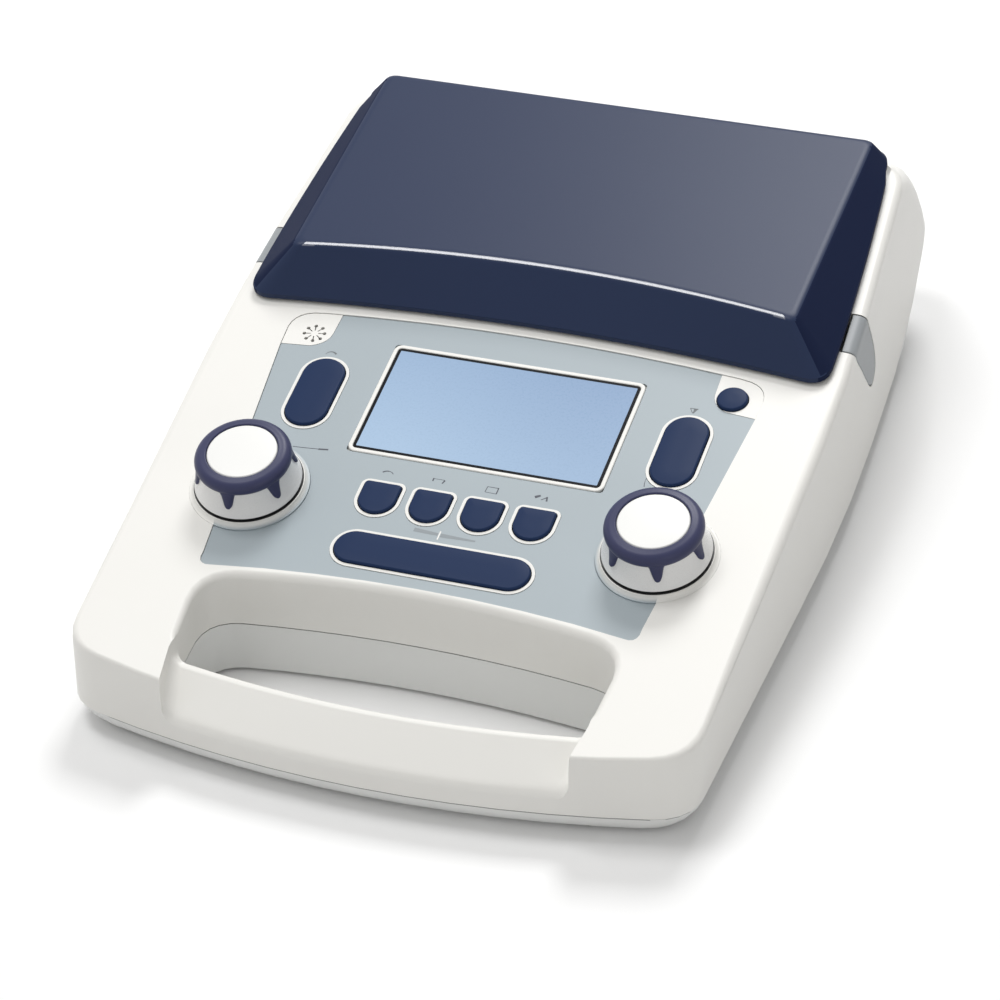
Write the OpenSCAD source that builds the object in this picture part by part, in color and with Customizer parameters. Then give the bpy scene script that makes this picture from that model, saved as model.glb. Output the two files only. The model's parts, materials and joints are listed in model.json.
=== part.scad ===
// Portable screening audiometer: a wedge-shaped housing in two shells with a
// carrying handle, a sloped control deck and a lidded headset compartment.
// Millimetres, +Z up, origin on the table under the middle of the housing,
// operator on the -Y side. Deck places are given as u (right), v (up the
// slope) and w (out of the deck) from the middle of the control panel.

/* [Housing] */
// Width of the housing where it is widest
body_w = 248; // [240:1:262]
// Length from the front of the handle to the rear nose
body_l = 384; // [378:1:396]
// Slope of the deck in degrees
deck_tilt = 11; // [10:0.25:12]
// Height of the deck above the table at the middle of the control panel
deck_h = 62.5; // [61:0.5:68]
// Distance of the panel's middle in front of the housing's middle
panel_fore = 42.75; // [40:0.25:45]
// Height of the joint between the two shells at the front and sides
joint_z = 11; // [10:0.5:13]
// Wall of both shells
wall = 2.6; // [2.2:0.1:3]
// Thickness of the top shell's deck
deck_wall = 3.2; // [2.8:0.1:3.6]
// Radius of the rounded shoulder around the deck
shoulder_r = 3.5; // [2:0.5:4.5]
// Radius of the front and rear corners seen from above
corner_r = 14; // [10:1:18]
// Radius of the bowed front seen from above
front_bow_r = 450; // [420:10:600]
// Radius of the bowed rear seen from above
rear_bow_r = 900; // [700:50:1400]
// Thickness of the rubber feet below the base
foot_h = 1.5; // [1:0.25:2.5]

/* [Handle] */
// Depth of the finger well behind the bar, front to back, at its middle
well_d = 47.5; // [44:0.5:50]
// Distance from the housing's front to the bar's rear edge
bar_d = 19.5; // [17:0.5:22]
// Height of the bar's rear edge above the table
bar_h = 31; // [28:0.5:33]
// Height of the joint between the shells inside the finger well
well_joint_z = 22.5; // [20:0.5:25]
// Half width of the finger well at its rear edge
well_half_w = 81; // [78:0.5:83]

/* [Control panel] */
// How far the grey control panel lies below the deck
panel_drop = 0.5; // [0.3:0.1:0.8]
// Thickness of the control panel
panel_t = 1; // [0.8:0.1:1.2]
// Width of the white deck beside the panel's upper corners
panel_border = 28.6; // [27:0.2:30]
// Narrowing of the panel's half width for each millimetre down the slope
panel_narrowing = 0.096; // [0.09:0.002:0.1]
// Height of the panel's upper edge above its middle
panel_top_v = 52; // [51:0.5:53]
// Depth of the panel's lower edge below its middle
panel_bottom_v = 80.5; // [80:0.25:81]
// Width of the display window
window_w = 98; // [94:1:100]
// Height of the display window
window_h = 53.8; // [50:0.2:56]
// Middle of the display window above the panel's middle
window_v = 9; // [8:0.5:10]
// Width of the white frame around the display window
frame_rim = 1.8; // [1.4:0.1:2.4]

/* [Keys] */
// Travel of every key
key_travel = 0.8; // [0.5:0.1:1]
// Height of the keys above the deck
key_proud = 1.2; // [1:0.1:2]
// Gap between a key and its rim
key_gap = 0.35; // [0.3:0.05:0.5]
// Width of the white rim around a key
key_rim = 1.2; // [0.8:0.1:1.6]
// Radius of the ends of the two oval keys
oval_r = 8.4; // [7.5:0.1:9]
// Distance between the end centres of an oval key
oval_l = 18.8; // [16:0.2:20]
// How far the oval keys stand outside the middle of their strip of panel
oval_shift = 1.8; // [1:0.1:2.5]
// Pitch of the four function keys
function_pitch = 20.3; // [19.8:0.1:21]
// Half width of a function key
function_half_w = 7.3; // [6.6:0.1:7.4]
// Length of the long bar key
bar_key_l = 76; // [66:1:78]
// Height of the long bar key up the slope
bar_key_w = 15.2; // [14:0.2:16]
// Diameter of the round power key
power_d = 11.8; // [10:0.2:12.4]

/* [Knobs] */
// Distance of the knobs' middle inside the panel's side
knob_inset = 8.2; // [7:0.2:9.4]
// Distance of the knobs below the panel's middle
knob_v = 45.2; // [44.6:0.2:46]
// Diameter of the knob at its foot
knob_d = 40.8; // [38:0.2:41.4]
// Height of the knob's top above the deck
knob_h = 19; // [18:0.5:22]
// Number of grip claws around the knob
claw_count = 6; // [4:1:8]
// Angle by which the right knob rests further turned than the left one
right_knob_turn = 19; // [0:1:60]
// Diameter of the encoder shaft
shaft_d = 6; // [5.6:0.1:6.2]
// Running clearance around the encoder shaft
shaft_gap = 0.05; // [0.03:0.01:0.08]

/* [Lid] */
// How far the lid's front corners lie inside the housing's widest line
lid_side_step = 6.5; // [6:0.5:8]
// Distance of the lid's front edge above the panel's middle
lid_front_v = 56; // [56:0.5:57]
// Distance of the lid's rear edge from the rear end of the deck
lid_rear_step = 5.5; // [5:0.5:7]
// Height of the lid's crease above the deck
lid_crease_w = 17.7; // [16:0.1:20]
// Height of the lid's rear top edge above the deck
lid_rear_w = 10.2; // [9.8:0.1:11]
// Wall of the lid
lid_wall = 2.2; // [1.8:0.1:2.4]
// Gap between the lid and the deck
lid_gap = 0.8; // [0.5:0.1:1]
// Diameter of the hinge pins
hinge_pin_d = 3; // [2.4:0.1:3.2]
// Running clearance around the hinge and latch pins
pin_gap = 0.05; // [0.03:0.01:0.08]

/* [Latches] */
// Width of a latch where it meets the lid
latch_w = 23; // [20:0.5:24]
// Length of the latch down the side
latch_drop = 42; // [36:1:44]
// Thickness of the latch's tongue
latch_t = 2.6; // [2.2:0.1:3]
// Gap around the latch in its pocket
latch_gap = 0.5; // [0.4:0.05:0.8]
// Diameter of the latch pins
latch_pin_d = 2.4; // [2:0.1:2.6]

/* [Headset compartment] */
// Distance of the compartment's mouth inside the lid's front corners
tray_side_step = 19.5; // [18:0.5:23]
// Front of the compartment's mouth above the panel's middle
tray_front_v = 75; // [74:0.5:78]
// Distance of the compartment's mouth from the lid's rear edge
tray_rear_step = 24.5; // [23.5:0.5:29]
// Depth of the compartment below the deck
tray_depth = 50; // [44:1:52]
// Wall of the compartment's liner
tray_wall = 1.8; // [1.5:0.1:2.2]

/* [Connectors] */
// Half width of the connector bay in the rear nose
bay_half = 78; // [72:1:82]
// Depth of the connector bay from the rear nose
bay_d = 52; // [50:1:53]
// Height of the connector bay's ceiling above the table
bay_top = 38; // [37:0.5:40]
// Diameter of the headset jack bores
jack_bore_d = 6.4; // [6.3:0.05:6.5]
// Depth of the headset jack bores
jack_bore_l = 22; // [18:1:24]
// Pitch of the jack sockets
jack_pitch = 24; // [21:0.5:26]

/* [Hidden] */
$fn = 48;

// ---- colours ----

white = [0.96, 0.96, 0.94];
light_grey = [0.70, 0.74, 0.77];
latch_grey = [0.72, 0.72, 0.74];
navy = [0.22, 0.26, 0.42];
silver = [0.86, 0.87, 0.88];
steel = [0.72, 0.73, 0.75];
pcb_green = [0.10, 0.36, 0.22];
black = [0.08, 0.08, 0.09];
screen_blue = [0.62, 0.76, 0.86];

// ---- places ----

far = 300;              // longer than any cut needs
skin = 0.01;            // how far a cut runs past the face that it opens
half_w = body_w / 2;
front_y = -192.25;
nose_y = front_y + body_l;
swell_r = 1000;         // radius of the gentle swell in the sides
swell_y = -12.75;       // where the housing is widest
front_taper = 1.55;     // slope of the sides ahead of the swell, in degrees
rear_taper = 4.2;       // slope of the sides behind the swell, in degrees
rear_run = 52.9;        // length of the rear slope behind the deck
deck_end_v = (nose_y - rear_run + panel_fore) / cos(deck_tilt);
nose_level = 0.28;      // share of the rear height at which the nose stands
front_lean = 2.5;       // how far the front leans back on its way up
joint_rise_y = nose_y - 84.75; // where the joint line starts to climb to the nose
joint_rise = 0.23;      // how steeply it climbs
rim_r = 3;              // rounding of the rim around the finger well
bow_y = front_y + front_bow_r;
well_rear_r = 476;
well_rear_y = front_y + bar_d + 0.75 + well_d;
lid_front_half = half_w - lid_side_step;
lid_rear_v = deck_end_v - lid_rear_step;
axis_v = lid_rear_v - 7; // hinge axis of the lid
axis_w = 4.2;
gutter_r = 8.3;
gutter_half = half_w - 13.7;
arm_u = [half_w - 39, half_w - 33]; // width of a hinge arm, measured from the middle
knuckle_r = 3.4;
tray_half = lid_front_half - tray_side_step;
tray_rear_v = lid_rear_v - tray_rear_step;
latch_axis_x = half_w - 5.8; // rocking axis of the latches
latch_axis_w = -12;
latch_face = half_w - 2.8; // inner face of a latch's tongue
bay_y = nose_y - bay_d; // front face of the connector bay
jack_z = 25;
jack_xs = [for (i = [0 : 3]) -54 + i * jack_pitch];
screw_places = [[half_w - 24, front_y + 34.25], [half_w - 18, -22],
    [half_w - 18, nose_y - 87.75]];
panel_top_half = half_w - panel_border;
recess_w = -panel_drop - panel_t;
board_w = -7;           // top face of the key board
flange_w = [-5, -3.7];  // retaining flange below each key
function_us = [for (i = [0 : 3]) 0.3 + (i - 1.5) * function_pitch];
oval_v = 6.2;
oval_u = (window_w / 2 + panel_half(oval_v)) / 2 + oval_shift;
knob_u = panel_half(-knob_v) - knob_inset;
corner_u = panel_top_half - 10.8; // middle of the power key and of the microphone
corner_v = 36.6;
main_board_half = half_w - 30;
key_board_half = half_w - 36;

// ---- curves ----

function lerp(a, b, t) = a + (b - a) * t;
function deck_z(y) = deck_h + (y + panel_fore) * tan(deck_tilt);
function deck_y(v) = v * cos(deck_tilt) - panel_fore;
function bow(x, r) = r - sqrt(r * r - x * x);
function panel_half(v) = panel_top_half - panel_narrowing * (29 - v);
function curve(a, b, c, n) = [for (i = [0 : n])
    let (t = i / n) a * (1 - t) * (1 - t) + b * 2 * t * (1 - t) + c * t * t];
function mirrored(half) = concat(half,
    [for (i = [len(half) - 2 : -1 : 1]) [-half[i].x, half[i].y]]);

// Half width of the housing at y.
function side_x(y) =
    let (from = swell_y - swell_r * sin(front_taper),
         to = swell_y + swell_r * sin(rear_taper),
         on = min(max(y, from), to) - swell_y)
    body_w / 2 - bow(on, swell_r)
        - max(0, from - y) * tan(front_taper) - max(0, y - to) * tan(rear_taper);

// Outline of the housing from above, drawn in by `inset`, with its front
// moved back by `lean` and its rear edge at `rear`.
function outline(inset, lean, rear) =
    let (r = corner_r,
         front = front_y + lean + inset,
         cx = side_x(front + 16) - inset,
         cy = front + bow(cx, front_bow_r),
         back = rear - inset,
         ex = side_x(back - 8) - inset,
         ey = back - bow(ex, rear_bow_r))
    mirrored(concat(
        [for (i = [0 : 5]) let (x = (cx - r) * i / 6) [x, front + bow(x, front_bow_r)]],
        curve([cx - r, front + bow(cx - r, front_bow_r)], [cx, cy],
              [side_x(cy + r) - inset, cy + r], 5),
        [for (i = [1 : 7]) let (y = lerp(cy + r, ey - r, i / 8)) [side_x(y) - inset, y]],
        curve([side_x(ey - r) - inset, ey - r], [ex, ey],
              [ex - r, back - bow(ex - r, rear_bow_r)], 5),
        [for (i = [1 : 4]) let (x = (ex - r) * (1 - i / 4)) [x, back - bow(x, rear_bow_r)]]));

// Rear edge of the top shell at level t, from the joint (0) to the deck (1).
function rear_at(t) = t < nose_level
    ? nose_y - 8.5 * pow((nose_level - t) / 0.08, 2) * (t < 0.2 ? 0.4 : 1)
    : lerp(nose_y, deck_y(deck_end_v), pow((t - nose_level) / (1 - nose_level), 1.25));

// One ring of the top shell: level t, drawn in by inset, lowered by drop.
function top_ring(t, inset, drop) =
    [for (p = outline(inset, front_lean * t, rear_at(t)))
        [p.x, p.y, lerp(joint_z, deck_z(p.y), t) - drop]];

// Share of the shoulder's radius at y: crisp along the front, full at the sides.
function shoulder_share(y) = lerp(0.4, 1, min(1, max(0, (y - front_y - 12) / 34)));
function shoulder_ring(a) =
    let (outer = top_ring(1, 0, 0), inner = top_ring(1, shoulder_r * (1 - cos(a)), 0))
    [for (i = [0 : len(outer) - 1])
        let (share = shoulder_share(outer[i].y), p = lerp(outer[i], inner[i], share))
        [p.x, p.y, deck_z(p.y) - share * shoulder_r * (1 - sin(a))]];

// Outline of the finger well from above, grown by g.
function well_front(x, g) = bow_y - sqrt(pow(front_bow_r - bar_d - 0.75 + g, 2) - x * x);
function well_rear(x, g) = well_rear_y + g - bow(x, well_rear_r + g);
function well_outline(g) =
    let (hx = well_half_w + g, fx = hx - 1.5, r = 4.5 + g, q = 13 + g)
    mirrored(concat(
        [for (i = [0 : 4]) let (x = (fx - r) * i / 5) [x, well_front(x, g)]],
        curve([fx - r, well_front(fx - r, g)], [fx, well_front(fx, g)],
              [fx + 0.3, well_front(fx, g) + r], 4),
        curve([hx, well_rear(hx, g) - q], [hx, well_rear(hx, g)],
              [hx - q, well_rear(hx - q, g)], 5),
        [for (i = [1 : 5]) let (x = (hx - q) * (1 - i / 5)) [x, well_rear(x, g)]]));
function well_ring(g, drop) = [for (p = well_outline(g)) [p.x, p.y, deck_z(p.y) - drop]];

// Outline of the lid, drawn in by g: half width hx(v), bowed front of
// radius r whose middle is at v = front, rear edge at v = rear.
function lid_half(v) = lid_front_half - 0.03 * (v - 62) - 0.00036 * (v - 62) * (v - 62);
function lid_ring(g, top, w0, w1) =
    let (front = top ? 75 + g : lid_front_v + g,
         r = top ? 580 : 1000,
         rear = (top ? lid_rear_v - 3 : lid_rear_v) - g,
         c = top ? 4 : 10,
         hf = (top ? lid_front_half - 16.5 : lid_half(62)) - g,
         hr = (top ? lid_front_half - 15.9 : lid_half(rear)) - g,
         cv = front - bow(hf, r))
    [for (p = mirrored(concat(
        [for (i = [0 : 6]) let (x = (hf - c) * i / 7) [x, front - bow(x, r)]],
        curve([hf - c, front - bow(hf - c, r)], [hf, cv], [hf, cv + c], 4),
        [for (i = [1 : 5]) let (v = lerp(cv + c, rear - c, i / 6))
            [top ? lerp(hf, hr, i / 6) : lid_half(v) - g, v]],
        curve([hr, rear - c], [hr, rear], [hr - c, rear], 4),
        [for (i = [1 : 3]) [(hr - c) * (1 - i / 3), rear]])))
        [p.x, p.y, w0 + (top ? w1 * (p.y - 70) : 0)]];

// ---- helpers ----

// A closed solid through rings of equal length, lowest ring first.
module loft(rings) {
    n = len(rings[0]);
    m = len(rings);
    polyhedron(
        [for (ring = rings) each ring],
        concat(
            [[for (i = [0 : n - 1]) i]],
            [for (k = [0 : m - 2]) for (i = [0 : n - 1])
                let (a = k * n + i, b = k * n + (i + 1) % n)
                each [[a, a + n, b], [b, a + n, b + n]]],
            [[for (i = [n - 1 : -1 : 0]) (m - 1) * n + i]]));
}

module on_deck(w = 0)
    translate([0, -panel_fore, deck_h]) rotate([deck_tilt, 0, 0])
        translate([0, 0, w]) children();

// An extrusion in deck coordinates between two heights above the deck.
module slab(from, to)
    on_deck(from) linear_extrude(to - from) children();

// An extrusion across the housing of a profile drawn as (y, z).
module across(half)
    translate([-half, 0, 0]) rotate([90, 0, 90]) linear_extrude(2 * half) children();

// The same across the deck, for a profile drawn as (v, w).
module across_deck(from, to)
    on_deck() translate([from, 0, 0]) rotate([90, 0, 90]) linear_extrude(to - from) children();

module at_knobs()
    for (side = [-1, 1]) on_deck() translate([side * knob_u, -knob_v, 0]) children();

module rounded(w, h, r) offset(r) square([w - 2 * r, h - 2 * r], center = true);

// ---- shells ----

module top_form()
    loft(concat(
        [for (t = [0, 0.2, 0.24, nose_level, 0.34, 0.44, 0.56, 0.7, 0.84]) top_ring(t, 0, 0)],
        [for (a = [0 : 18 : 90]) shoulder_ring(a)]));

module top_hollow()
    loft([top_ring(0, wall, 0.5), top_ring(0.24, wall, 0), top_ring(nose_level, wall, 0),
          top_ring(0.44, wall + 0.6, 0), top_ring(0.7, wall + 0.8, 0),
          top_ring(1, wall + 1.2, deck_wall + 1), top_ring(1, wall + 2.2, deck_wall)]);

// Everything above the joint between the shells.
module above_joint()
    across(far) polygon([[-far, joint_z], [joint_rise_y, joint_z],
        [far, joint_z + (far - joint_rise_y) * joint_rise], [far, far], [-far, far]]);
module below_joint()
    across(far) polygon([[-far, joint_z], [joint_rise_y, joint_z],
        [far, joint_z + (far - joint_rise_y) * joint_rise], [far, -far], [-far, -far]]);

module well_prism(g, from, to)
    translate([0, 0, from]) linear_extrude(to - from) polygon(well_outline(g));

module well_flare()
    loft(concat([[for (p = well_outline(0)) [p.x, p.y, -1]]],
        [for (a = [0 : 22.5 : 90])
            well_ring(rim_r * (1 - cos(a)), rim_r * (1 - sin(a)) - 0.05)],
        [well_ring(rim_r, -20)]));

// The space above the carrying bar, in rings that follow the bowed front at a
// distance d behind it: a floor that falls to the front and filleted ends.
bar_fillet = 5;
bar_guard = well_half_w - 1 + wall; // half width kept solid around the bar
bar_floor = concat([[32, bar_h - 1.4], [bar_d + 0.35, bar_h - 1.3]],
    curve([bar_d + 0.3, bar_h - 1.2], [bar_d - 0.3, bar_h + 0.1], [bar_d - 2.4, bar_h - 0.9], 4),
    [[bar_d - 8, bar_h - 4.7]],
    curve([5, bar_h - 9.1], [1.6, bar_h - 11.1], [0.4, bar_h - 15], 5),
    [[-0.6, bar_h - 15.5], [-30, bar_h - 15.5]]);
function bar_half(d) = well_half_w - 1 - 0.165 * max(0, 17 - d);
function bar_ring(d, z) =
    let (half = bar_half(max(d, -1)), f = bar_fillet, n = 12)
    [for (p = concat(
        [for (i = [0 : n]) [(half - f) * (2 * i / n - 1), z]],
        [for (a = [15 : 15 : 90]) [half - f + f * sin(a), z + f * (1 - cos(a))]],
        [[half, 90], [-half, 90]],
        [for (a = [90 : -15 : 15]) [f - half - f * sin(a), z + f * (1 - cos(a))]]))
        [p.x, front_y + bow(p.x, front_bow_r) + d, p.y]];

module bar_space() loft([for (p = bar_floor) bar_ring(p.x, p.y)]);

module latch_side(g)
    offset(g) polygon(concat(
        [[70, 6], [70, 0], [72.6, -6.7], [78.6, -17.1], [84.3, -27.6]],
        curve([88.6, -35], [92.6, -41.6], [96.5, -41.4], 4),
        curve([97.5, -41.3], [102.4, -40.4], [101.7, -34], 4),
        [[100.6, -27.4], [96.6, -16.2], [91.1, -3.9], [90, 0], [90, 6]]));

module panel_shape(g = 0) {
    high = panel_top_half;
    low = panel_half(-panel_bottom_v);
    offset(g) polygon(mirrored(concat(
        [for (i = [0 : 4]) let (x = (high - 11.4) * i / 4) [x, panel_top_v - x * x / 1700]],
        curve([high - 9.9, panel_top_v - 4.4], [high + 0.2, panel_top_v - 5.4],
              [high + 0.6, 38], 6),
        [[panel_top_half + 0.2, 29], [low, -panel_bottom_v]],
        curve([low, -panel_bottom_v - 2.6], [low - 0.7, -panel_bottom_v - 6.6],
              [low - 4.9, -panel_bottom_v - 5.6], 4),
        [for (x = [60 : -20 : 0]) [x, 0.2 - panel_bottom_v - x * x / 1150]])));
}

module inlay_region(g = 0)
    translate([corner_u, 0]) offset(g) polygon(concat([[35.4, 70], [-7.4, 70], [-7.6, 48]],
        curve([-7.3, 38], [-7, 32.4], [-0.6, 30], 5), [[10.9, 28.9], [35.4, 26]]));

module stadium(r, l, upright)
    rotate(upright ? 90 : 0) union() {
        square([l, 2 * r], center = true);
        for (end = [-l / 2, l / 2]) translate([end, 0]) circle(r);
    }

module oval_shape(g = 0) stadium(oval_r + g, oval_l, true);
module bar_shape(g = 0) stadium(bar_key_w / 2 + g, bar_key_l - bar_key_w, false);
module function_shape(g = 0) {
    r = function_half_w + g;
    q = 1.6 + g;
    circle(r);
    translate([-r, 0]) square([2 * r, 8 - 1.6]);
    translate([-r + q, 0]) square([2 * r - 2 * q, 8 + g]);
    for (x = [-r + q, r - q]) translate([x, 8 - 1.6]) circle(q);
}

// The outlines of all the keys in the panel, grown by g.
module key_shapes(g) {
    for (side = [-1, 1]) translate([side * oval_u, oval_v]) oval_shape(g);
    for (u = function_us) translate([u, -41.4]) function_shape(g);
    translate([0, -66.2]) bar_shape(g);
}

module window_shape(g) translate([0, window_v]) rounded(window_w + 2 * g, window_h + 2 * g, 1.5);

module hinge_arms()
    for (side = [0, 1]) mirror([side, 0, 0]) {
        across_deck(arm_u[0], arm_u[1]) difference() {
            union() {
                translate([axis_v, axis_w]) circle(knuckle_r);
                translate([axis_v - 12.5, axis_w - knuckle_r])
                    square([12.5, 2 * knuckle_r]);
                translate([axis_v - 12.5, -deck_wall]) square([4, deck_wall + 1]);
            }
            translate([axis_v, axis_w]) circle(hinge_pin_d / 2);
        }
    }

module axis_rod(r, from, to)
    on_deck() translate([from, axis_v, axis_w]) rotate([0, 90, 0]) cylinder(r = r, h = to - from);

module top_shell() color(white) {
    difference() {
        top_form();
        below_joint();
        difference() {
            top_hollow();
            well_prism(wall, 0, 90);
            translate([-bar_guard, -210, 0]) cube([2 * bar_guard, 50, 90]);
            translate([-bay_half - wall, bay_y - wall, 0])
                cube([2 * (bay_half + wall), 90, bay_top + wall]);
            axis_rod(gutter_r + 2, -far, far);
            for (side = [0, 1]) mirror([side, 0, 0]) {
                across_deck(half_w - 12.1, half_w + 6) latch_side(latch_gap + wall);
                for (p = screw_places) translate([p.x, p.y, 0]) cylinder(r = 4, h = 110);
            }
        }
        well_flare();
        well_prism(wall, -1, well_joint_z);
        bar_space();
        translate([-bay_half, bay_y, -1]) cube([2 * bay_half, 90, bay_top + 1]);
        translate([-72, bay_y - 9, 14]) cube([144, 10, 20]);
        axis_rod(gutter_r, -gutter_half, gutter_half);
        slab(recess_w, 4) panel_shape(0.15);
        slab(-9, 4) window_shape(-2);
        slab(-9, 4) key_shapes(key_gap);
        slab(-9, 4) translate([corner_u, corner_v]) circle(power_d / 2 + key_gap);
        slab(-9, 4) translate([-corner_u, corner_v]) circle(4.9);
        at_knobs() {
            translate([0, 0, recess_w]) cylinder(r = 23, h = 5);
            translate([0, 0, -9]) cylinder(r = 4.6, h = 12);
        }
        slab(-1.2, 4) tray_mouth(3.4);
        slab(-9, 4) tray_mouth(tray_wall + 0.2);
        for (side = [0, 1]) mirror([side, 0, 0]) {
            across_deck(half_w - 9.5, half_w + 16) latch_side(latch_gap);
            latch_pin_rod(latch_pin_d / 2, 71.5, 99);
            for (p = screw_places) translate([p.x, p.y, 0]) cylinder(r = 1.5, h = 26);
        }
    }
    slab(recess_w, -0.2) difference() {
        key_shapes(key_gap + key_rim);
        key_shapes(key_gap);
    }
    hinge_arms();
}

// Level, inset and distance of the rear edge from the nose of each ring.
bottom_levels = [[foot_h, 7, 71.75], [2.6, 5, 67.75], [5, 3, 60.75], [8, 1.2, 50.75],
    [joint_z, 0.3, 41.75], [20, 0.3, 23.75], [29, 0.3, 7.75], [32, 0.3, 5.75]];
bottom_hollow = [[4.1, 9, 73.75], [6, 6.2, 65.75], [joint_z, wall + 0.3, 43.75],
    [32, wall + 0.3, 7.75]];
function bottom_rings(levels) = [for (k = levels)
    [for (p = outline(k[1], 0, nose_y - k[2])) [p.x, p.y, k[0]]]];

// The narrow step that shows as a dark line between the shells.
module joint_reveal()
    difference() {
        across(far) polygon([[-far, joint_z - 0.5], [joint_rise_y, joint_z - 0.5],
            [far, joint_z - 0.5 + (far - joint_rise_y) * joint_rise],
            [far, joint_z + 0.5 + (far - joint_rise_y) * joint_rise],
            [joint_rise_y, joint_z + 0.5], [-far, joint_z + 0.5]]);
        linear_extrude(90) polygon(outline(1.3, 0, nose_y));
    }

module bottom_shell() color(white) {
    difference() {
        loft(bottom_rings(bottom_levels));
        above_joint();
        joint_reveal();
        difference() {
            loft(bottom_rings(bottom_hollow));
            well_prism(wall, 0, 90);
            translate([-bar_guard, -210, 0]) cube([2 * bar_guard, 50, 90]);
            translate([-bay_half - wall, bay_y - wall, 0]) cube([2 * (bay_half + wall), 90, 90]);
            for (side = [0, 1]) mirror([side, 0, 0]) {
                for (p = screw_places) translate([p.x, p.y, 0]) cylinder(r = 4.6, h = 110);
                for (y = [-104, 14]) translate([main_board_half - 6, y, 0])
                    cylinder(r = 3.2, h = 9);
            }
        }
        well_prism(0, -1, 90);
        translate([-bay_half, bay_y, -1]) cube([2 * bay_half, 90, 90]);
        translate([-72, bay_y - 9, 14]) cube([144, 10, 20]);
        foot_places() {
            translate([0, 0, foot_h - 1]) linear_extrude(2) stadium(3, 10, false);
        }
        for (side = [0, 1]) mirror([side, 0, 0]) for (p = screw_places)
            translate([p.x, p.y, 0]) {
                cylinder(r = 1.7, h = 26);
                cylinder(r = 3.4, h = 6);
            }
    }
    difference() {
        well_prism(wall, 6, well_joint_z - 0.4);
        well_prism(0, 0, 90);
    }
}

module foot_places()
    for (side = [-1, 1], p = [[half_w - 48, front_y + 19.25], [half_w - 36, nose_y - 93.75]])
        translate([side * p.x, p.y, 0]) children();

module rubber_feet() color(black)
    foot_places() {
        linear_extrude(foot_h) stadium(4, 10, false);
        linear_extrude(foot_h + 1) stadium(3, 10, false);
    }

module housing_screws() color(steel)
    for (side = [0, 1]) mirror([side, 0, 0]) for (p = screw_places) translate([p.x, p.y, 0]) {
        translate([0, 0, 3.6]) cylinder(r = 2.9, h = 2.4);
        translate([0, 0, 3.6]) cylinder(r = 1.5, h = 20);
    }

// ---- control panel ----

module control_panel() color(light_grey)
    difference() {
        slab(recess_w, -panel_drop) difference() {
            panel_shape();
            for (side = [0, 1]) mirror([side, 0]) inlay_region(0.1);
            window_shape(frame_rim + 0.1);
            key_shapes(key_gap + key_rim + 0.1);
        }
        at_knobs() translate([0, 0, -3]) cylinder(r = 23, h = 6);
    }

module corner_inlay()
    slab(recess_w, -0.35) intersection() {
        panel_shape();
        inlay_region();
    }

module corner_inlay_left() color(white)
    difference() {
        mirror([1, 0, 0]) corner_inlay();
        slab(-3, 1) translate([-corner_u, corner_v])
            for (a = [10 : 45 : 325]) rotate(a) {
                translate([1.5, -0.2]) square([2.6, 0.4]);
                translate([4, 0]) circle(0.75);
            }
    }

module corner_inlay_right() color(white)
    difference() {
        corner_inlay();
        slab(-3, 1) translate([corner_u, corner_v]) circle(power_d / 2 + key_gap);
    }

module microphone() color(black)
    slab(board_w + 0.2, -1.55) translate([-corner_u, corner_v]) circle(4.85);

module display_frame() color(white)
    slab(recess_w, -0.1) difference() {
        window_shape(frame_rim);
        window_shape(0.1);
    }

module display_window() color(black)
    slab(recess_w, -0.3) window_shape(0);

module lcd_module() color(screen_blue)
    union() {
        slab(-8.6, -deck_wall) translate([0, window_v]) square([102, 62], center = true);
        slab(-deck_wall - skin, recess_w - 0.2) window_shape(-2.4);
    }

module key_board() color(pcb_green)
    slab(board_w - 1.6, board_w) difference() {
        translate([-key_board_half, -76]) square([2 * key_board_half, 118]);
        translate([-52, -24]) square([104, 80]);
    }

module tact_switches() color(steel)
    slab(board_w, board_w + 0.8) {
        for (side = [-1, 1], v = [-10.2, 10.2]) translate([side * oval_u, oval_v + v]) circle(3);
        for (u = function_us) translate([u, -41.4]) circle(3);
        for (u = [-24, 0, 24]) translate([u, -66.2]) circle(3);
        translate([corner_u - 1.5, corner_v - 1]) circle(2.6);
    }

module main_board() color(pcb_green)
    union() {
        translate([-main_board_half, -110, 9]) cube([2 * main_board_half, 130, 1.6]);
        translate([-40, -80, 10.6 - skin]) cube([24, 24, 2]);
        translate([10, -70, 10.6 - skin]) cube([16, 16, 1.8]);
        translate([-70, -20, 10.6 - skin]) cube([30, 20, 5]);
        for (x = [40 : 14 : 82]) translate([x, -10, 10.6 - skin]) cylinder(r = 4, h = 10);
    }

module board_screws() color(steel)
    for (side = [-1, 1], y = [-104, 14])
        translate([side * (main_board_half - 6), y, 10.6]) cylinder(r = 2.6, h = 1.8);

// ---- keys ----

// A key cap that rises key_proud above the deck, with a softened top edge
// and a retaining flange below the deck.
module key_cap(kind) {
    on_deck() translate([0, 0, flange_w[0]]) linear_extrude(flange_w[1] - flange_w[0])
        key_outline(kind, 1.3);
    on_deck() translate([0, 0, flange_w[0]]) linear_extrude(key_proud - 0.5 - flange_w[0])
        key_outline(kind, 0);
    on_deck() translate([0, 0, flange_w[0]]) linear_extrude(key_proud - flange_w[0])
        key_outline(kind, -0.6);
}

module key_outline(kind, g) {
    if (kind == "oval") translate([oval_u, oval_v]) oval_shape(g);
    if (kind == "bar") translate([0, -66.2]) bar_shape(g);
    if (kind == "power") translate([corner_u, corner_v]) circle(power_d / 2 + g);
    if (kind == 0 || kind == 1 || kind == 2 || kind == 3)
        translate([function_us[kind], -41.4]) function_shape(g);
}

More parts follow.
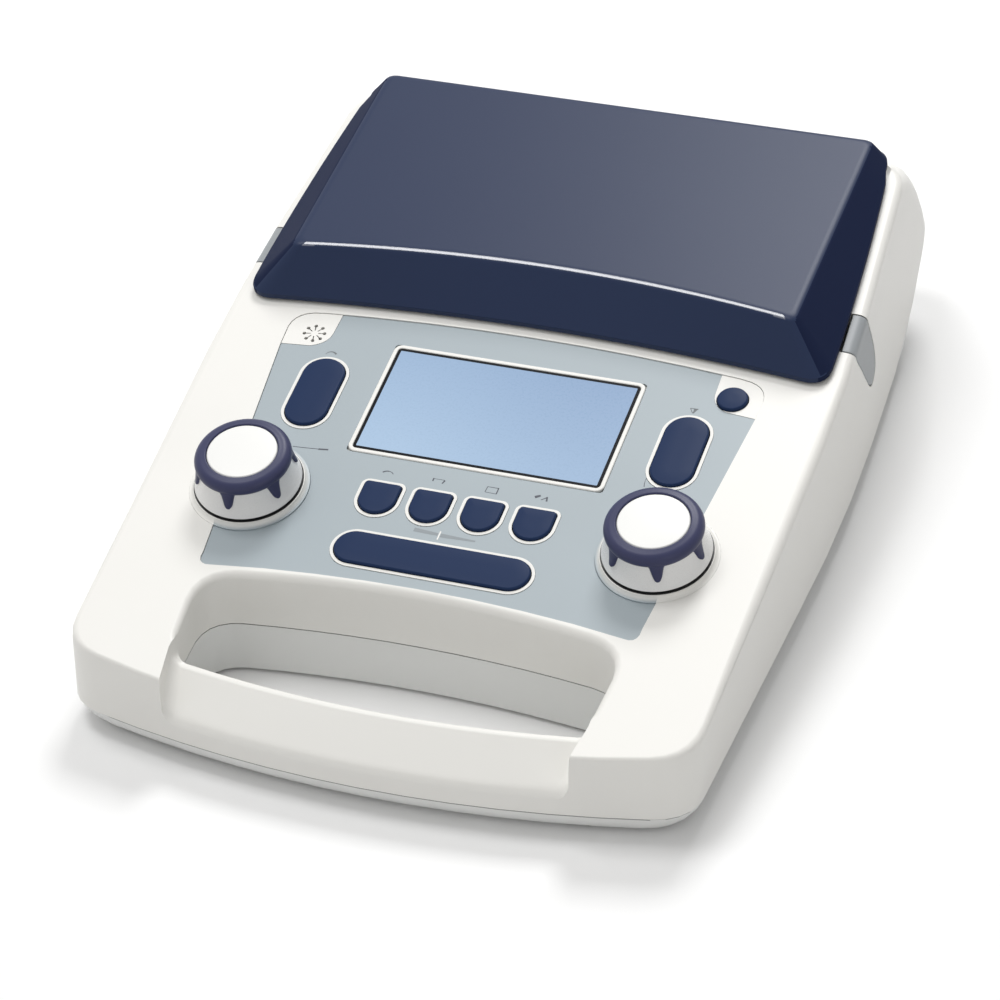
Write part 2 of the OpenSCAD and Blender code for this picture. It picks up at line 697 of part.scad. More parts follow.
module oval_key_left() color(navy) mirror([1, 0, 0]) key_cap("oval");
module oval_key_right() color(navy) key_cap("oval");
module function_key_1() color(navy) key_cap(0);
module function_key_2() color(navy) key_cap(1);
module function_key_3() color(navy) key_cap(2);
module function_key_4() color(navy) key_cap(3);
module bar_key() color(navy) key_cap("bar");
module power_key() color(navy) key_cap("power");

// ---- knobs ----

skirt_profile = [[knob_d / 2, 2.6], [knob_d / 2, 3.4], [knob_d / 2 - 1.1, 5.6],
    [knob_d / 2 - 2.3, 9.2], [knob_d / 2 - 3.1, 13.2]];
cap_r = 13.4;

module at_knob(side) on_deck() translate([side * knob_u, -knob_v, 0]) children();

module knob_collar()
    rotate_extrude($fn = 96) polygon(concat([[9, recess_w], [22.9, recess_w], [22.9, 0.15]],
        curve([22.7, 0.25], [21.4, 0.4], [21.1, 1.7], 5), [[20.8, 2], [9, 2]]));

module knob_skirt()
    rotate_extrude($fn = 96) polygon(concat(skirt_profile,
        [[cap_r, 13.2], [cap_r, knob_h - 3.2], [0, knob_h - 3.2], [0, 13.8], [shaft_d / 2, 13.8],
         [shaft_d / 2, 4.2], [6, 4.2], [6, 10.8], [15, 10.8], [knob_d / 2 - 1.8, 2.6]]));

// The grip ring with its claws, which taper down the skirt to round tips.
module knob_ring() {
    r = knob_d / 2;
    rotate_extrude($fn = 96) polygon(concat([[cap_r + 0.05, 13.2], [r - 2.6, 13.2]],
        curve([r - 2.1, 14], [r - 2, knob_h - 1.4], [cap_r + 2.2, knob_h - 0.2], 6),
        [[cap_r + 0.9, knob_h - 0.1], [cap_r + 0.05, knob_h - 0.6]]));
    for (i = [0 : claw_count - 1]) rotate(i * 360 / claw_count + 30) intersection() {
        rotate_extrude($fn = 96) polygon(concat([for (p = skirt_profile) p + [0.02, 0]],
            [[r - 3.08, 15], [r - 1.95, 15], [r - 1.8, 12.4], [r - 1.25, 9.2], [r - 0.35, 6],
             [r - 0.35, 2.6]]));
        rotate([90, 0, 90]) linear_extrude(30) union() {
            polygon(mirrored([[0, 8], [1.4, 8], [2.1, 10.2], [2.7, 12.4], [3.4, 13.4],
                [5, 15.5], [0, 15.5]]));
            translate([0, 8.2]) circle(1.4);
        }
    }
}

module knob_disc()
    rotate_extrude($fn = 96) polygon(concat([[0, knob_h - 3.2], [cap_r, knob_h - 3.2]],
        curve([cap_r, knob_h - 0.9], [8, knob_h + 0.1], [0, knob_h], 6)));

module encoder()
    difference() {
        union() {
            translate([-6.5, -6.5, board_w]) cube([13, 13, -deck_wall - board_w]);
            translate([0, 0, -deck_wall - skin]) cylinder(r = 4.5, h = deck_wall + 3.6);
        }
        translate([0, 0, -6.8]) cylinder(r = shaft_d / 2 + shaft_gap, h = 12);
    }

module knob_collar_left() color(white) at_knob(-1) knob_collar();
module knob_collar_right() color(white) at_knob(1) knob_collar();
module knob_skirt_left() color(silver) at_knob(-1) knob_skirt();
module knob_skirt_right() color(silver) at_knob(1) knob_skirt();
module knob_ring_left() color(navy) at_knob(-1) knob_ring();
module knob_ring_right() color(navy) at_knob(1) rotate(right_knob_turn) knob_ring();
module knob_disc_left() color(white) at_knob(-1) knob_disc();
module knob_disc_right() color(white) at_knob(1) knob_disc();
module encoder_left() color(steel) at_knob(-1) encoder();
module encoder_right() color(steel) at_knob(1) encoder();
module encoder_shaft_left() color(steel)
    at_knob(-1) translate([0, 0, -6.6]) cylinder(r = shaft_d / 2, h = 20.2);
module encoder_shaft_right() color(steel)
    at_knob(1) translate([0, 0, -6.6]) cylinder(r = shaft_d / 2, h = 20.2);

module encoder_nuts() color(steel)
    at_knobs() translate([0, 0, recess_w]) difference() {
        cylinder(r = 7, h = 2, $fn = 6);
        translate([0, 0, -1]) cylinder(r = 4.5, h = 4);
    }

// ---- headset compartment and lid ----

module tray_mouth(g)
    translate([0, (tray_front_v + tray_rear_v) / 2])
        rounded(2 * (tray_half + g), tray_rear_v - tray_front_v + 2 * g, 9 + g);

module headset_tray() color(light_grey)
    difference() {
        union() {
            slab(-1.2, 0) tray_mouth(3.2);
            slab(-tray_depth - tray_wall, 0) tray_mouth(tray_wall);
        }
        slab(-tray_depth, 5) tray_mouth(0);
    }

lid_slope = (lid_rear_w - lid_crease_w) / (lid_rear_v - 73.5);

module lid() color(navy)
    difference() {
        union() {
            difference() {
                on_deck() loft([
                    lid_ring(0.5, false, lid_gap, 0), lid_ring(0, false, lid_gap + 0.5, 0),
                    lid_ring(0, false, 3.1, 0), lid_ring(0.4, false, 3.5, 0),
                    lid_ring(-0.9, true, lid_crease_w - 1, lid_slope),
                    lid_ring(0, true, lid_crease_w - 0.25, lid_slope),
                    lid_ring(1, true, lid_crease_w, lid_slope)]);
                on_deck() loft([
                    lid_ring(lid_wall, false, lid_gap - 1, 0), lid_ring(lid_wall, false, 2.6, 0),
                    lid_ring(lid_wall - 0.8, true, lid_crease_w - lid_wall, lid_slope)]);
            }
            for (side = [0, 1], u = [[arm_u[0] - 6, arm_u[0] - 0.4], [arm_u[1] + 0.4, arm_u[1] + 6]])
                mirror([side, 0, 0]) across_deck(u[0], u[1]) union() {
                    translate([axis_v, axis_w]) circle(knuckle_r);
                    translate([axis_v - knuckle_r, axis_w]) square([2 * knuckle_r, 4.6]);
                }
        }
        for (side = [0, 1]) mirror([side, 0, 0])
            axis_rod(hinge_pin_d / 2 + pin_gap, arm_u[0] - 7, arm_u[1] + 7);
    }

module hinge_pins() color(steel)
    for (side = [0, 1]) mirror([side, 0, 0])
        axis_rod(hinge_pin_d / 2, arm_u[0] - 5.6, arm_u[1] + 5.6);

// ---- latches ----

module latch_pin_rod(r, from, to)
    on_deck() translate([latch_axis_x, to, latch_axis_w]) rotate([90, 0, 0])
        cylinder(r = r, h = to - from);

module latch()
    difference() {
        union() {
            difference() {
                intersection() {
                    across_deck(half_w - 11, half_w + 6) latch_side(0);
                    top_form();
                }
                on_deck() translate([latch_face - 60, 82, -62.6 - latch_t]) rotate([0, 0, 3.4])
                    translate([0, -60, 0]) cube([59, 120, 62.6]);
                slab(-4, 3) polygon([[half_w - 24, 50], [lid_half(50) + 0.5, 50],
                    [lid_half(70) + 0.5, 70], [lid_half(95) + 0.5, 95], [half_w - 24, 95]]);
                slab(-60, 3) translate([half_w - 24, 60]) square([16.9, 60]);
            }
            for (v = [[78.5, 82.5], [88, 92]]) on_deck()
                translate([latch_axis_x, v[1], latch_axis_w]) rotate([90, 0, 0])
                    linear_extrude(v[1] - v[0]) union() {
                        circle(2.7);
                        translate([0, -2.7]) square([3, 5.4]);
                    }
        }
        latch_pin_rod(latch_pin_d / 2 + pin_gap, 60, 110);
    }

module latch_right() color(latch_grey) latch();
module latch_left() color(latch_grey) mirror([1, 0, 0]) latch();

module latch_pins() color(steel)
    for (side = [0, 1]) mirror([side, 0, 0]) latch_pin_rod(latch_pin_d / 2, 71.5, 99);

// ---- connectors ----

module connector_panel() color(light_grey)
    difference() {
        translate([-bay_half + 0.2, bay_y, 9]) cube([2 * bay_half - 0.4, 1.8, bay_top - 9.2]);
        for (x = jack_xs) translate([x, bay_y - 1, jack_z]) rotate([-90, 0, 0])
            cylinder(r = 5.2, h = 5);
        translate([38, bay_y - 1, jack_z - 4]) cube([12.4, 5, 8.4]);
        translate([62, bay_y - 1, jack_z]) rotate([-90, 0, 0]) cylinder(r = 5.6, h = 5);
    }

module jack_sockets() color(black)
    for (x = jack_xs) translate([x, bay_y, jack_z]) rotate([90, 0, 0]) difference() {
        union() {
            cylinder(r = 6.8, h = 24);
            translate([0, 0, -4.6]) cylinder(r = 5.2, h = 5);
        }
        translate([0, 0, jack_bore_l - 4.6]) mirror([0, 0, 1]) cylinder(d = jack_bore_d, h = 40);
    }

module socket_nuts() color(steel)
    for (x = jack_xs) translate([x, bay_y + 1.8, jack_z]) rotate([-90, 0, 0]) difference() {
        cylinder(r = 8, h = 2, $fn = 6);
        translate([0, 0, -1]) cylinder(r = 5.2, h = 4);
    }

module power_inlet() color(black)
    translate([62, bay_y, jack_z]) rotate([90, 0, 0]) {
        difference() {
            union() {
                translate([-7, -7, 0]) cube([14, 14, 13]);
                translate([0, 0, -2.6]) cylinder(r = 5.6, h = 3);
            }
            translate([0, 0, -3]) cylinder(r = 2.8, h = 12);
        }
        translate([0, 0, -2]) cylinder(r = 1, h = 12);
    }

module usb_socket() color(steel)
    difference() {
        translate([38.1, bay_y - 12, jack_z - 3.9]) cube([12.2, 14, 8.2]);
        translate([39, bay_y - 8, jack_z - 3.1]) cube([10.4, 12, 6.6]);
    }

// ---- the assembly ----

top_shell();
bottom_shell();
control_panel();
corner_inlay_left();
corner_inlay_right();
display_frame();
display_window();
lcd_module();
key_board();
tact_switches();
main_board();
knob_collar_left();
knob_collar_right();
encoder_left();
encoder_right();
encoder_nuts();
microphone();
headset_tray();
hinge_pins();
latch_pins();
connector_panel();
jack_sockets();
socket_nuts();
power_inlet();
usb_socket();
rubber_feet();
housing_screws();
board_screws();
lid();
latch_left();
latch_right();
knob_skirt_left();
knob_skirt_right();
knob_ring_left();
knob_ring_right();
knob_disc_left();
knob_disc_right();
encoder_shaft_left();
encoder_shaft_right();
oval_key_left();
oval_key_right();
function_key_1();
function_key_2();
function_key_3();
function_key_4();
bar_key();
power_key();
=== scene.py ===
"""Studio scene of a portable audiometer: two-shell console, keys, knobs and lidded headset bay.

Lengths in the classes are millimetres in deck coordinates: u to the operator's right,
v up the sloped deck and w out of it, from the middle of the control panel. Meshes are
written in metres in the shared frame.
"""
from __future__ import annotations

import json
import logging
import math
from dataclasses import dataclass, field
from enum import Enum
from typing import Callable, Sequence

import bmesh
import bpy
from bpy.types import Material, Node, NodeSocket, NodeTree, Object, ShaderNodeTree
from mathutils import Matrix, Vector

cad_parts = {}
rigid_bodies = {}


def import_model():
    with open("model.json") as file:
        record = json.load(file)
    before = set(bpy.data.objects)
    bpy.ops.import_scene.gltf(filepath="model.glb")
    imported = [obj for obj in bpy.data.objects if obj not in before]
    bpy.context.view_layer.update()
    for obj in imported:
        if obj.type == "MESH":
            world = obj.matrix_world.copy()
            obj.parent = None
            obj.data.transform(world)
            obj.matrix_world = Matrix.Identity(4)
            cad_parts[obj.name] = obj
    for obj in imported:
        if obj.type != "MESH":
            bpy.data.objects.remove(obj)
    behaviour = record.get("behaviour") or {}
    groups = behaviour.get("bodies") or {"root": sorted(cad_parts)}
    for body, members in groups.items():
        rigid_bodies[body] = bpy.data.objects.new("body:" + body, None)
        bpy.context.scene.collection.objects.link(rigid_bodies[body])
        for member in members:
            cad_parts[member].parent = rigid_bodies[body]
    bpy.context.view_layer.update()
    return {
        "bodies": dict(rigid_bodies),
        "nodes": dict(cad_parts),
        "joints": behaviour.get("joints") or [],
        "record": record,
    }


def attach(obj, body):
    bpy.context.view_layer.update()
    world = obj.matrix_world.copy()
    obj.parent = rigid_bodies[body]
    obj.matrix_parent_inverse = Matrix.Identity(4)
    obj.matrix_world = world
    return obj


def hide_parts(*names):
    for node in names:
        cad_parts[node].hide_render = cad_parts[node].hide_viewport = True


LOG = logging.getLogger("audiometer")
MM = 0.001
Colour = tuple[float, float, float]
Point = tuple[float, float]

DECK_TILT = math.radians(11.0)
DECK_MIDDLE = (0.0, -0.04275, 0.0625)
DECK = Matrix.Translation(DECK_MIDDLE) @ Matrix.Rotation(DECK_TILT, 4, "X")
DECK_MM = DECK @ Matrix.Scale(MM, 4)
AS_IS = Matrix.Identity(4)


class Body(Enum):
    """The rigid bodies that pieces ride on."""

    HOUSING = "housing"
    LID = "lid"
    LATCH_LEFT = "latch_left"
    LATCH_RIGHT = "latch_right"
    KNOB_LEFT = "knob_left"
    KNOB_RIGHT = "knob_right"


class Side(Enum):
    """Left or right of the middle line, as the sign of u."""

    LEFT = -1
    RIGHT = 1

    @property
    def word(self) -> str:
        """The side's name as it ends a node's name."""
        return self.name.lower()


# ---------------------------------------------------------------- node helpers


def add_node(tree: NodeTree, kind: str, **values: object) -> Node:
    """Adds one node to a tree.

    Args:
        tree: the node tree.
        kind: Blender's type name of the node.
        **values: attributes to set, or inputs by name with underscores for spaces.

    Returns:
        The new node.
    """
    node = tree.nodes.new(kind)
    for key, value in values.items():
        socket = node.inputs.get(key.replace("_", " "))
        if socket is not None and not hasattr(type(node), key):
            socket.default_value = value
        else:
            setattr(node, key, value)
    return node


def new_material(name: str) -> tuple[Material, NodeTree, Node]:
    """Starts a material.

    Args:
        name: the material's name.

    Returns:
        The material, its node tree and its Principled shader.
    """
    material = bpy.data.materials.new(name)
    material.use_nodes = True
    tree = material.node_tree
    return material, tree, tree.nodes["Principled BSDF"]


def mixed(tree: NodeTree, share: NodeSocket, first: Colour, second: Colour) -> NodeSocket:
    """Mixes two colours.

    Args:
        tree: the node tree.
        share: the second colour's share, 0 to 1.
        first: the first colour, linear.
        second: the second colour, linear.

    Returns:
        The mixed colour's socket.
    """
    tone = add_node(tree, "ShaderNodeMix", data_type="RGBA")
    tone.inputs["A"].default_value = (*first, 1.0)
    tone.inputs["B"].default_value = (*second, 1.0)
    tree.links.new(share, tone.inputs["Factor"])
    return tone.outputs["Result"]


def noise_scale(tree: NodeTree, size_mm: NodeSocket) -> NodeSocket:
    """Turns a feature's size in millimetres into a noise scale for coordinates in metres.

    Args:
        tree: the node tree.
        size_mm: the size's socket.

    Returns:
        The scale's socket.
    """
    per_mm = add_node(tree, "ShaderNodeMath", operation="DIVIDE")
    per_mm.inputs[0].default_value = 1 / MM
    tree.links.new(size_mm, per_mm.inputs[1])
    return per_mm.outputs[0]


def new_group(name: str, inputs: dict[str, float],
              outputs: Sequence[str]) -> tuple[ShaderNodeTree, Node, Node]:
    """Starts a shader node group with float sockets.

    Args:
        name: the group's name.
        inputs: each input's name and default.
        outputs: names of the outputs.

    Returns:
        The tree, its input node and its output node.
    """
    tree = bpy.data.node_groups.new(name, "ShaderNodeTree")
    for key, value in inputs.items():
        socket = tree.interface.new_socket(name=key, in_out="INPUT", socket_type="NodeSocketFloat")
        socket.default_value = value
    for key in outputs:
        tree.interface.new_socket(name=key, in_out="OUTPUT", socket_type="NodeSocketFloat")
    return tree, tree.nodes.new("NodeGroupInput"), tree.nodes.new("NodeGroupOutput")


class SharedEffects:
    """The effects that more than one finish uses, each built once.

    Attributes:
        grain_spread: how much the grain changes the roughness.
        ring_spread: how much the tool rings change it.
        ring_stretch: how the rings' noise is drawn out along the turned face.
        cloud_range: noise levels between which the cloudiness sets in.
        joint_range: open and closed ends of the light that reaches a spot, between which painted shade
            darkens joints and creases.
    """

    grain_spread: float = 0.12
    ring_spread: float = 0.18
    ring_stretch: tuple[float, float, float] = (1.0, 0.08, 0.08)
    cloud_range: Point = (0.35, 0.72)
    joint_range: Point = (0.52, 0.18)

    def __init__(self) -> None:
        """Builds the groups."""
        self.grain = self._grain()
        self.handling = self._handling()
        self.turned = self._turned()
        self.crevice = self._crevice()

    def _grain(self) -> ShaderNodeTree:
        """Fine spark-eroded grain of a moulded face: a height and a roughness.

        Returns:
            The group's tree.
        """
        tree, given, out = new_group("moulded_grain", {"Size": 1.0, "Gloss": 0.4}, ("Height", "Roughness"))
        coords = add_node(tree, "ShaderNodeTexCoord")
        pits = add_node(tree, "ShaderNodeTexNoise", Detail=3.0, Roughness=0.6)
        tree.links.new(coords.outputs["Object"], pits.inputs["Vector"])
        tree.links.new(noise_scale(tree, given.outputs["Size"]), pits.inputs["Scale"])
        spread = add_node(tree, "ShaderNodeMath", operation="MULTIPLY_ADD")
        spread.inputs[1].default_value = self.grain_spread
        tree.links.new(pits.outputs["Fac"], spread.inputs[0])
        tree.links.new(given.outputs["Gloss"], spread.inputs[2])
        tree.links.new(pits.outputs["Fac"], out.inputs["Height"])
        tree.links.new(spread.outputs[0], out.inputs["Roughness"])
        return tree

    def _handling(self) -> ShaderNodeTree:
        """Broad faint cloudiness from handling and dust: a mask of 0 to 1.

        Returns:
            The group's tree.
        """
        tree, given, out = new_group("handling", {"Size": 60.0, "Amount": 0.3}, ("Mask",))
        coords = add_node(tree, "ShaderNodeTexCoord")
        cloud = add_node(tree, "ShaderNodeTexNoise", Detail=4.0, Roughness=0.55)
        tree.links.new(coords.outputs["Object"], cloud.inputs["Vector"])
        tree.links.new(noise_scale(tree, given.outputs["Size"]), cloud.inputs["Scale"])
        level = add_node(tree, "ShaderNodeMapRange")
        level.inputs["From Min"].default_value, level.inputs["From Max"].default_value = self.cloud_range
        tree.links.new(cloud.outputs["Fac"], level.inputs["Value"])
        share = add_node(tree, "ShaderNodeMath", operation="MULTIPLY")
        tree.links.new(level.outputs["Result"], share.inputs[0])
        tree.links.new(given.outputs["Amount"], share.inputs[1])
        tree.links.new(share.outputs[0], out.inputs["Mask"])
        return tree

    def _turned(self) -> ShaderNodeTree:
        """Fine tool rings of turned or rolled metal: a height and a roughness.

        Returns:
            The group's tree.
        """
        tree, given, out = new_group("tool_rings", {"Pitch": 0.4, "Gloss": 0.3}, ("Height", "Roughness"))
        coords = add_node(tree, "ShaderNodeTexCoord")
        rings = add_node(tree, "ShaderNodeTexNoise", Detail=2.0)
        stretch = add_node(tree, "ShaderNodeMapping")
        stretch.inputs["Scale"].default_value = self.ring_stretch
        tree.links.new(coords.outputs["Object"], stretch.inputs["Vector"])
        tree.links.new(stretch.outputs["Vector"], rings.inputs["Vector"])
        tree.links.new(noise_scale(tree, given.outputs["Pitch"]), rings.inputs["Scale"])
        spread = add_node(tree, "ShaderNodeMath", operation="MULTIPLY_ADD")
        spread.inputs[1].default_value = self.ring_spread
        tree.links.new(rings.outputs["Fac"], spread.inputs[0])
        tree.links.new(given.outputs["Gloss"], spread.inputs[2])
        tree.links.new(rings.outputs["Fac"], out.inputs["Height"])
        tree.links.new(spread.outputs[0], out.inputs["Roughness"])
        return tree

    def _crevice(self) -> ShaderNodeTree:
        """Painted shade that gathers in joints and round the feet of pieces, from ambient occlusion: a mask
        of 0 to 1.

        Returns:
            The group's tree.
        """
        tree, given, out = new_group("crevice", {"Reach": 0.0012}, ("Mask",))
        near = add_node(tree, "ShaderNodeAmbientOcclusion", samples=6)
        tree.links.new(given.outputs["Reach"], near.inputs["Distance"])
        level = add_node(tree, "ShaderNodeMapRange")
        level.inputs["From Min"].default_value, level.inputs["From Max"].default_value = self.joint_range
        tree.links.new(near.outputs["AO"], level.inputs["Value"])
        tree.links.new(level.outputs["Result"], out.inputs["Mask"])
        return tree


# ---------------------------------------------------------------- finishes


@dataclass(frozen=True)
class MouldedPlastic:
    """A moulded plastic finish with fine grain and faint uneven tone.

    Attributes:
        name: the material's name.
        colour: its colour, linear.
        shade: the colour that handling pulls it towards, linear.
        gloss: lowest roughness.
        grain_mm: size of the grain.
        depth_mm: depth of the grain.
        cloud: strength of the uneven tone.
        specular: the shader's specular level.
        coat: weight of a clear coat.
        coat_gloss: roughness of that coat.
        relief: strength of the grain's bump.
        crevice: how much painted shade from ambient occlusion darkens its joints and creases.
        joint: the colour of that painted shade, linear.
    """

    name: str
    colour: Colour
    shade: Colour
    gloss: float = 0.38
    grain_mm: float = 0.6
    depth_mm: float = 0.012
    cloud: float = 0.25
    specular: float = 0.5
    coat: float = 0.0
    coat_gloss: float = 0.12
    relief: float = 0.6
    crevice: float = 0.0
    joint: Colour = (0.05, 0.05, 0.045)

    def build(self, effects: SharedEffects) -> Material:
        """Makes the material.

        Args:
            effects: the shared groups.

        Returns:
            The material.
        """
        material, tree, shader = new_material(self.name)
        grain = add_node(tree, "ShaderNodeGroup", node_tree=effects.grain)
        grain.inputs["Size"].default_value = self.grain_mm
        grain.inputs["Gloss"].default_value = self.gloss
        cloud = add_node(tree, "ShaderNodeGroup", node_tree=effects.handling)
        cloud.inputs["Amount"].default_value = self.cloud
        shown = mixed(tree, cloud.outputs["Mask"], self.colour, self.shade)
        # painted shade: ambient occlusion darkens joints and creases towards the shade colour
        if self.crevice:
            shown = self._with_joints(tree, shown, effects)
        bump = add_node(tree, "ShaderNodeBump")
        bump.inputs["Strength"].default_value = self.relief
        bump.inputs["Distance"].default_value = self.depth_mm * MM
        tree.links.new(grain.outputs["Height"], bump.inputs["Height"])
        tree.links.new(shown, shader.inputs["Base Color"])
        tree.links.new(grain.outputs["Roughness"], shader.inputs["Roughness"])
        tree.links.new(bump.outputs["Normal"], shader.inputs["Normal"])
        shader.inputs["Specular IOR Level"].default_value = self.specular
        shader.inputs["Coat Weight"].default_value = self.coat
        shader.inputs["Coat Roughness"].default_value = self.coat_gloss
        return material

    def _with_joints(self, tree: NodeTree, shown: NodeSocket, effects: SharedEffects) -> NodeSocket:
        """Darkens a colour with painted shade in joints and creases.

        Args:
            tree: the material's node tree.
            shown: the colour's socket.
            effects: the shared groups.

        Returns:
            The darkened colour's socket.
        """
        # painted shade: the occlusion mask that darkens joints and creases
        joints = add_node(tree, "ShaderNodeGroup", node_tree=effects.crevice)
        share = add_node(tree, "ShaderNodeMath", operation="MULTIPLY")
        share.inputs[1].default_value = self.crevice
        dark = add_node(tree, "ShaderNodeMix", data_type="RGBA")
        dark.inputs["B"].default_value = (*self.joint, 1.0)
        tree.links.new(joints.outputs["Mask"], share.inputs[0])
        tree.links.new(share.outputs[0], dark.inputs["Factor"])
        tree.links.new(shown, dark.inputs["A"])
        return dark.outputs["Result"]


@dataclass(frozen=True)
class TurnedMetal:
    """Plated or turned metal.

    Attributes:
        name: the material's name.
        colour: its colour, linear.
        gloss: lowest roughness.
        wear: how much of the colour is left where handling dulls it.
        depth_mm: depth of the tool rings.
        relief: strength of their bump.
    """

    name: str
    colour: Colour
    gloss: float = 0.25
    wear: float = 0.8
    depth_mm: float = 0.01
    relief: float = 0.3

    def build(self, effects: SharedEffects) -> Material:
        """Makes the material.

        Args:
            effects: the shared groups.

        Returns:
            The material.
        """
        material, tree, shader = new_material(self.name)
        rings = add_node(tree, "ShaderNodeGroup", node_tree=effects.turned)
        rings.inputs["Gloss"].default_value = self.gloss
        cloud = add_node(tree, "ShaderNodeGroup", node_tree=effects.handling)
        dulled = tuple(c * self.wear for c in self.colour)
        bump = add_node(tree, "ShaderNodeBump")
        bump.inputs["Strength"].default_value = self.relief
        bump.inputs["Distance"].default_value = self.depth_mm * MM
        tree.links.new(mixed(tree, cloud.outputs["Mask"], self.colour, dulled), shader.inputs["Base Color"])
        tree.links.new(rings.outputs["Roughness"], shader.inputs["Roughness"])
        tree.links.new(rings.outputs["Height"], bump.inputs["Height"])
        tree.links.new(bump.outputs["Normal"], shader.inputs["Normal"])
        shader.inputs["Metallic"].default_value = 1.0
        return material


@dataclass(frozen=True)
class LitScreen:
    """The backlit liquid crystal behind its window: a pale blue wash, brighter to the left and down.

    Attributes:
        name: the material's name.
        dim: colour at the dim corner, linear.
        bright: colour at the bright corner, linear.
        half_mm: half the screen's width.
        rear_to_front_mm: places along y between which it grows brighter.
        shares: how much of the change runs across and how much down.
        glow: strength of its own light.
        gloss: lowest roughness.
        specular: the shader's specular level.
    """

    name: str = "lit_screen"
    dim: Colour = (0.195, 0.285, 0.430)
    bright: Colour = (0.305, 0.415, 0.555)
    half_mm: float = 47.0
    rear_to_front_mm: Point = (-10.0, -56.0)
    shares: Point = (0.45, 0.55)
    glow: float = 0.28
    gloss: float = 0.22
    specular: float = 0.25

    def build(self, effects: SharedEffects) -> Material:
        """Makes the material.

        Args:
            effects: the shared groups.

        Returns:
            The material.
        """
        material, tree, shader = new_material(self.name)
        coords = add_node(tree, "ShaderNodeTexCoord")
        axes = add_node(tree, "ShaderNodeSeparateXYZ")
        tree.links.new(coords.outputs["Object"], axes.inputs[0])
        across = add_node(tree, "ShaderNodeMapRange", interpolation_type="SMOOTHSTEP")
        across.inputs["From Min"].default_value = self.half_mm * MM
        across.inputs["From Max"].default_value = -self.half_mm * MM
        tree.links.new(axes.outputs["X"], across.inputs["Value"])
        down = add_node(tree, "ShaderNodeMapRange")
        down.inputs["From Min"].default_value = self.rear_to_front_mm[0] * MM
        down.inputs["From Max"].default_value = self.rear_to_front_mm[1] * MM
        tree.links.new(axes.outputs["Y"], down.inputs["Value"])
        share = add_node(tree, "ShaderNodeMath", operation="MULTIPLY")
        both = add_node(tree, "ShaderNodeMath", operation="MULTIPLY_ADD")
        both.inputs[1].default_value, share.inputs[1].default_value = self.shares
        tree.links.new(down.outputs["Result"], share.inputs[0])
        tree.links.new(across.outputs["Result"], both.inputs[0])
        tree.links.new(share.outputs[0], both.inputs[2])
        tone = mixed(tree, both.outputs[0], self.dim, self.bright)
        tree.links.new(tone, shader.inputs["Base Color"])
        tree.links.new(tone, shader.inputs["Emission Color"])
        shader.inputs["Emission Strength"].default_value = self.glow
        grain = add_node(tree, "ShaderNodeGroup", node_tree=effects.grain)
        grain.inputs["Gloss"].default_value = self.gloss
        tree.links.new(grain.outputs["Roughness"], shader.inputs["Roughness"])
        shader.inputs["Specular IOR Level"].default_value = self.specular
        return material


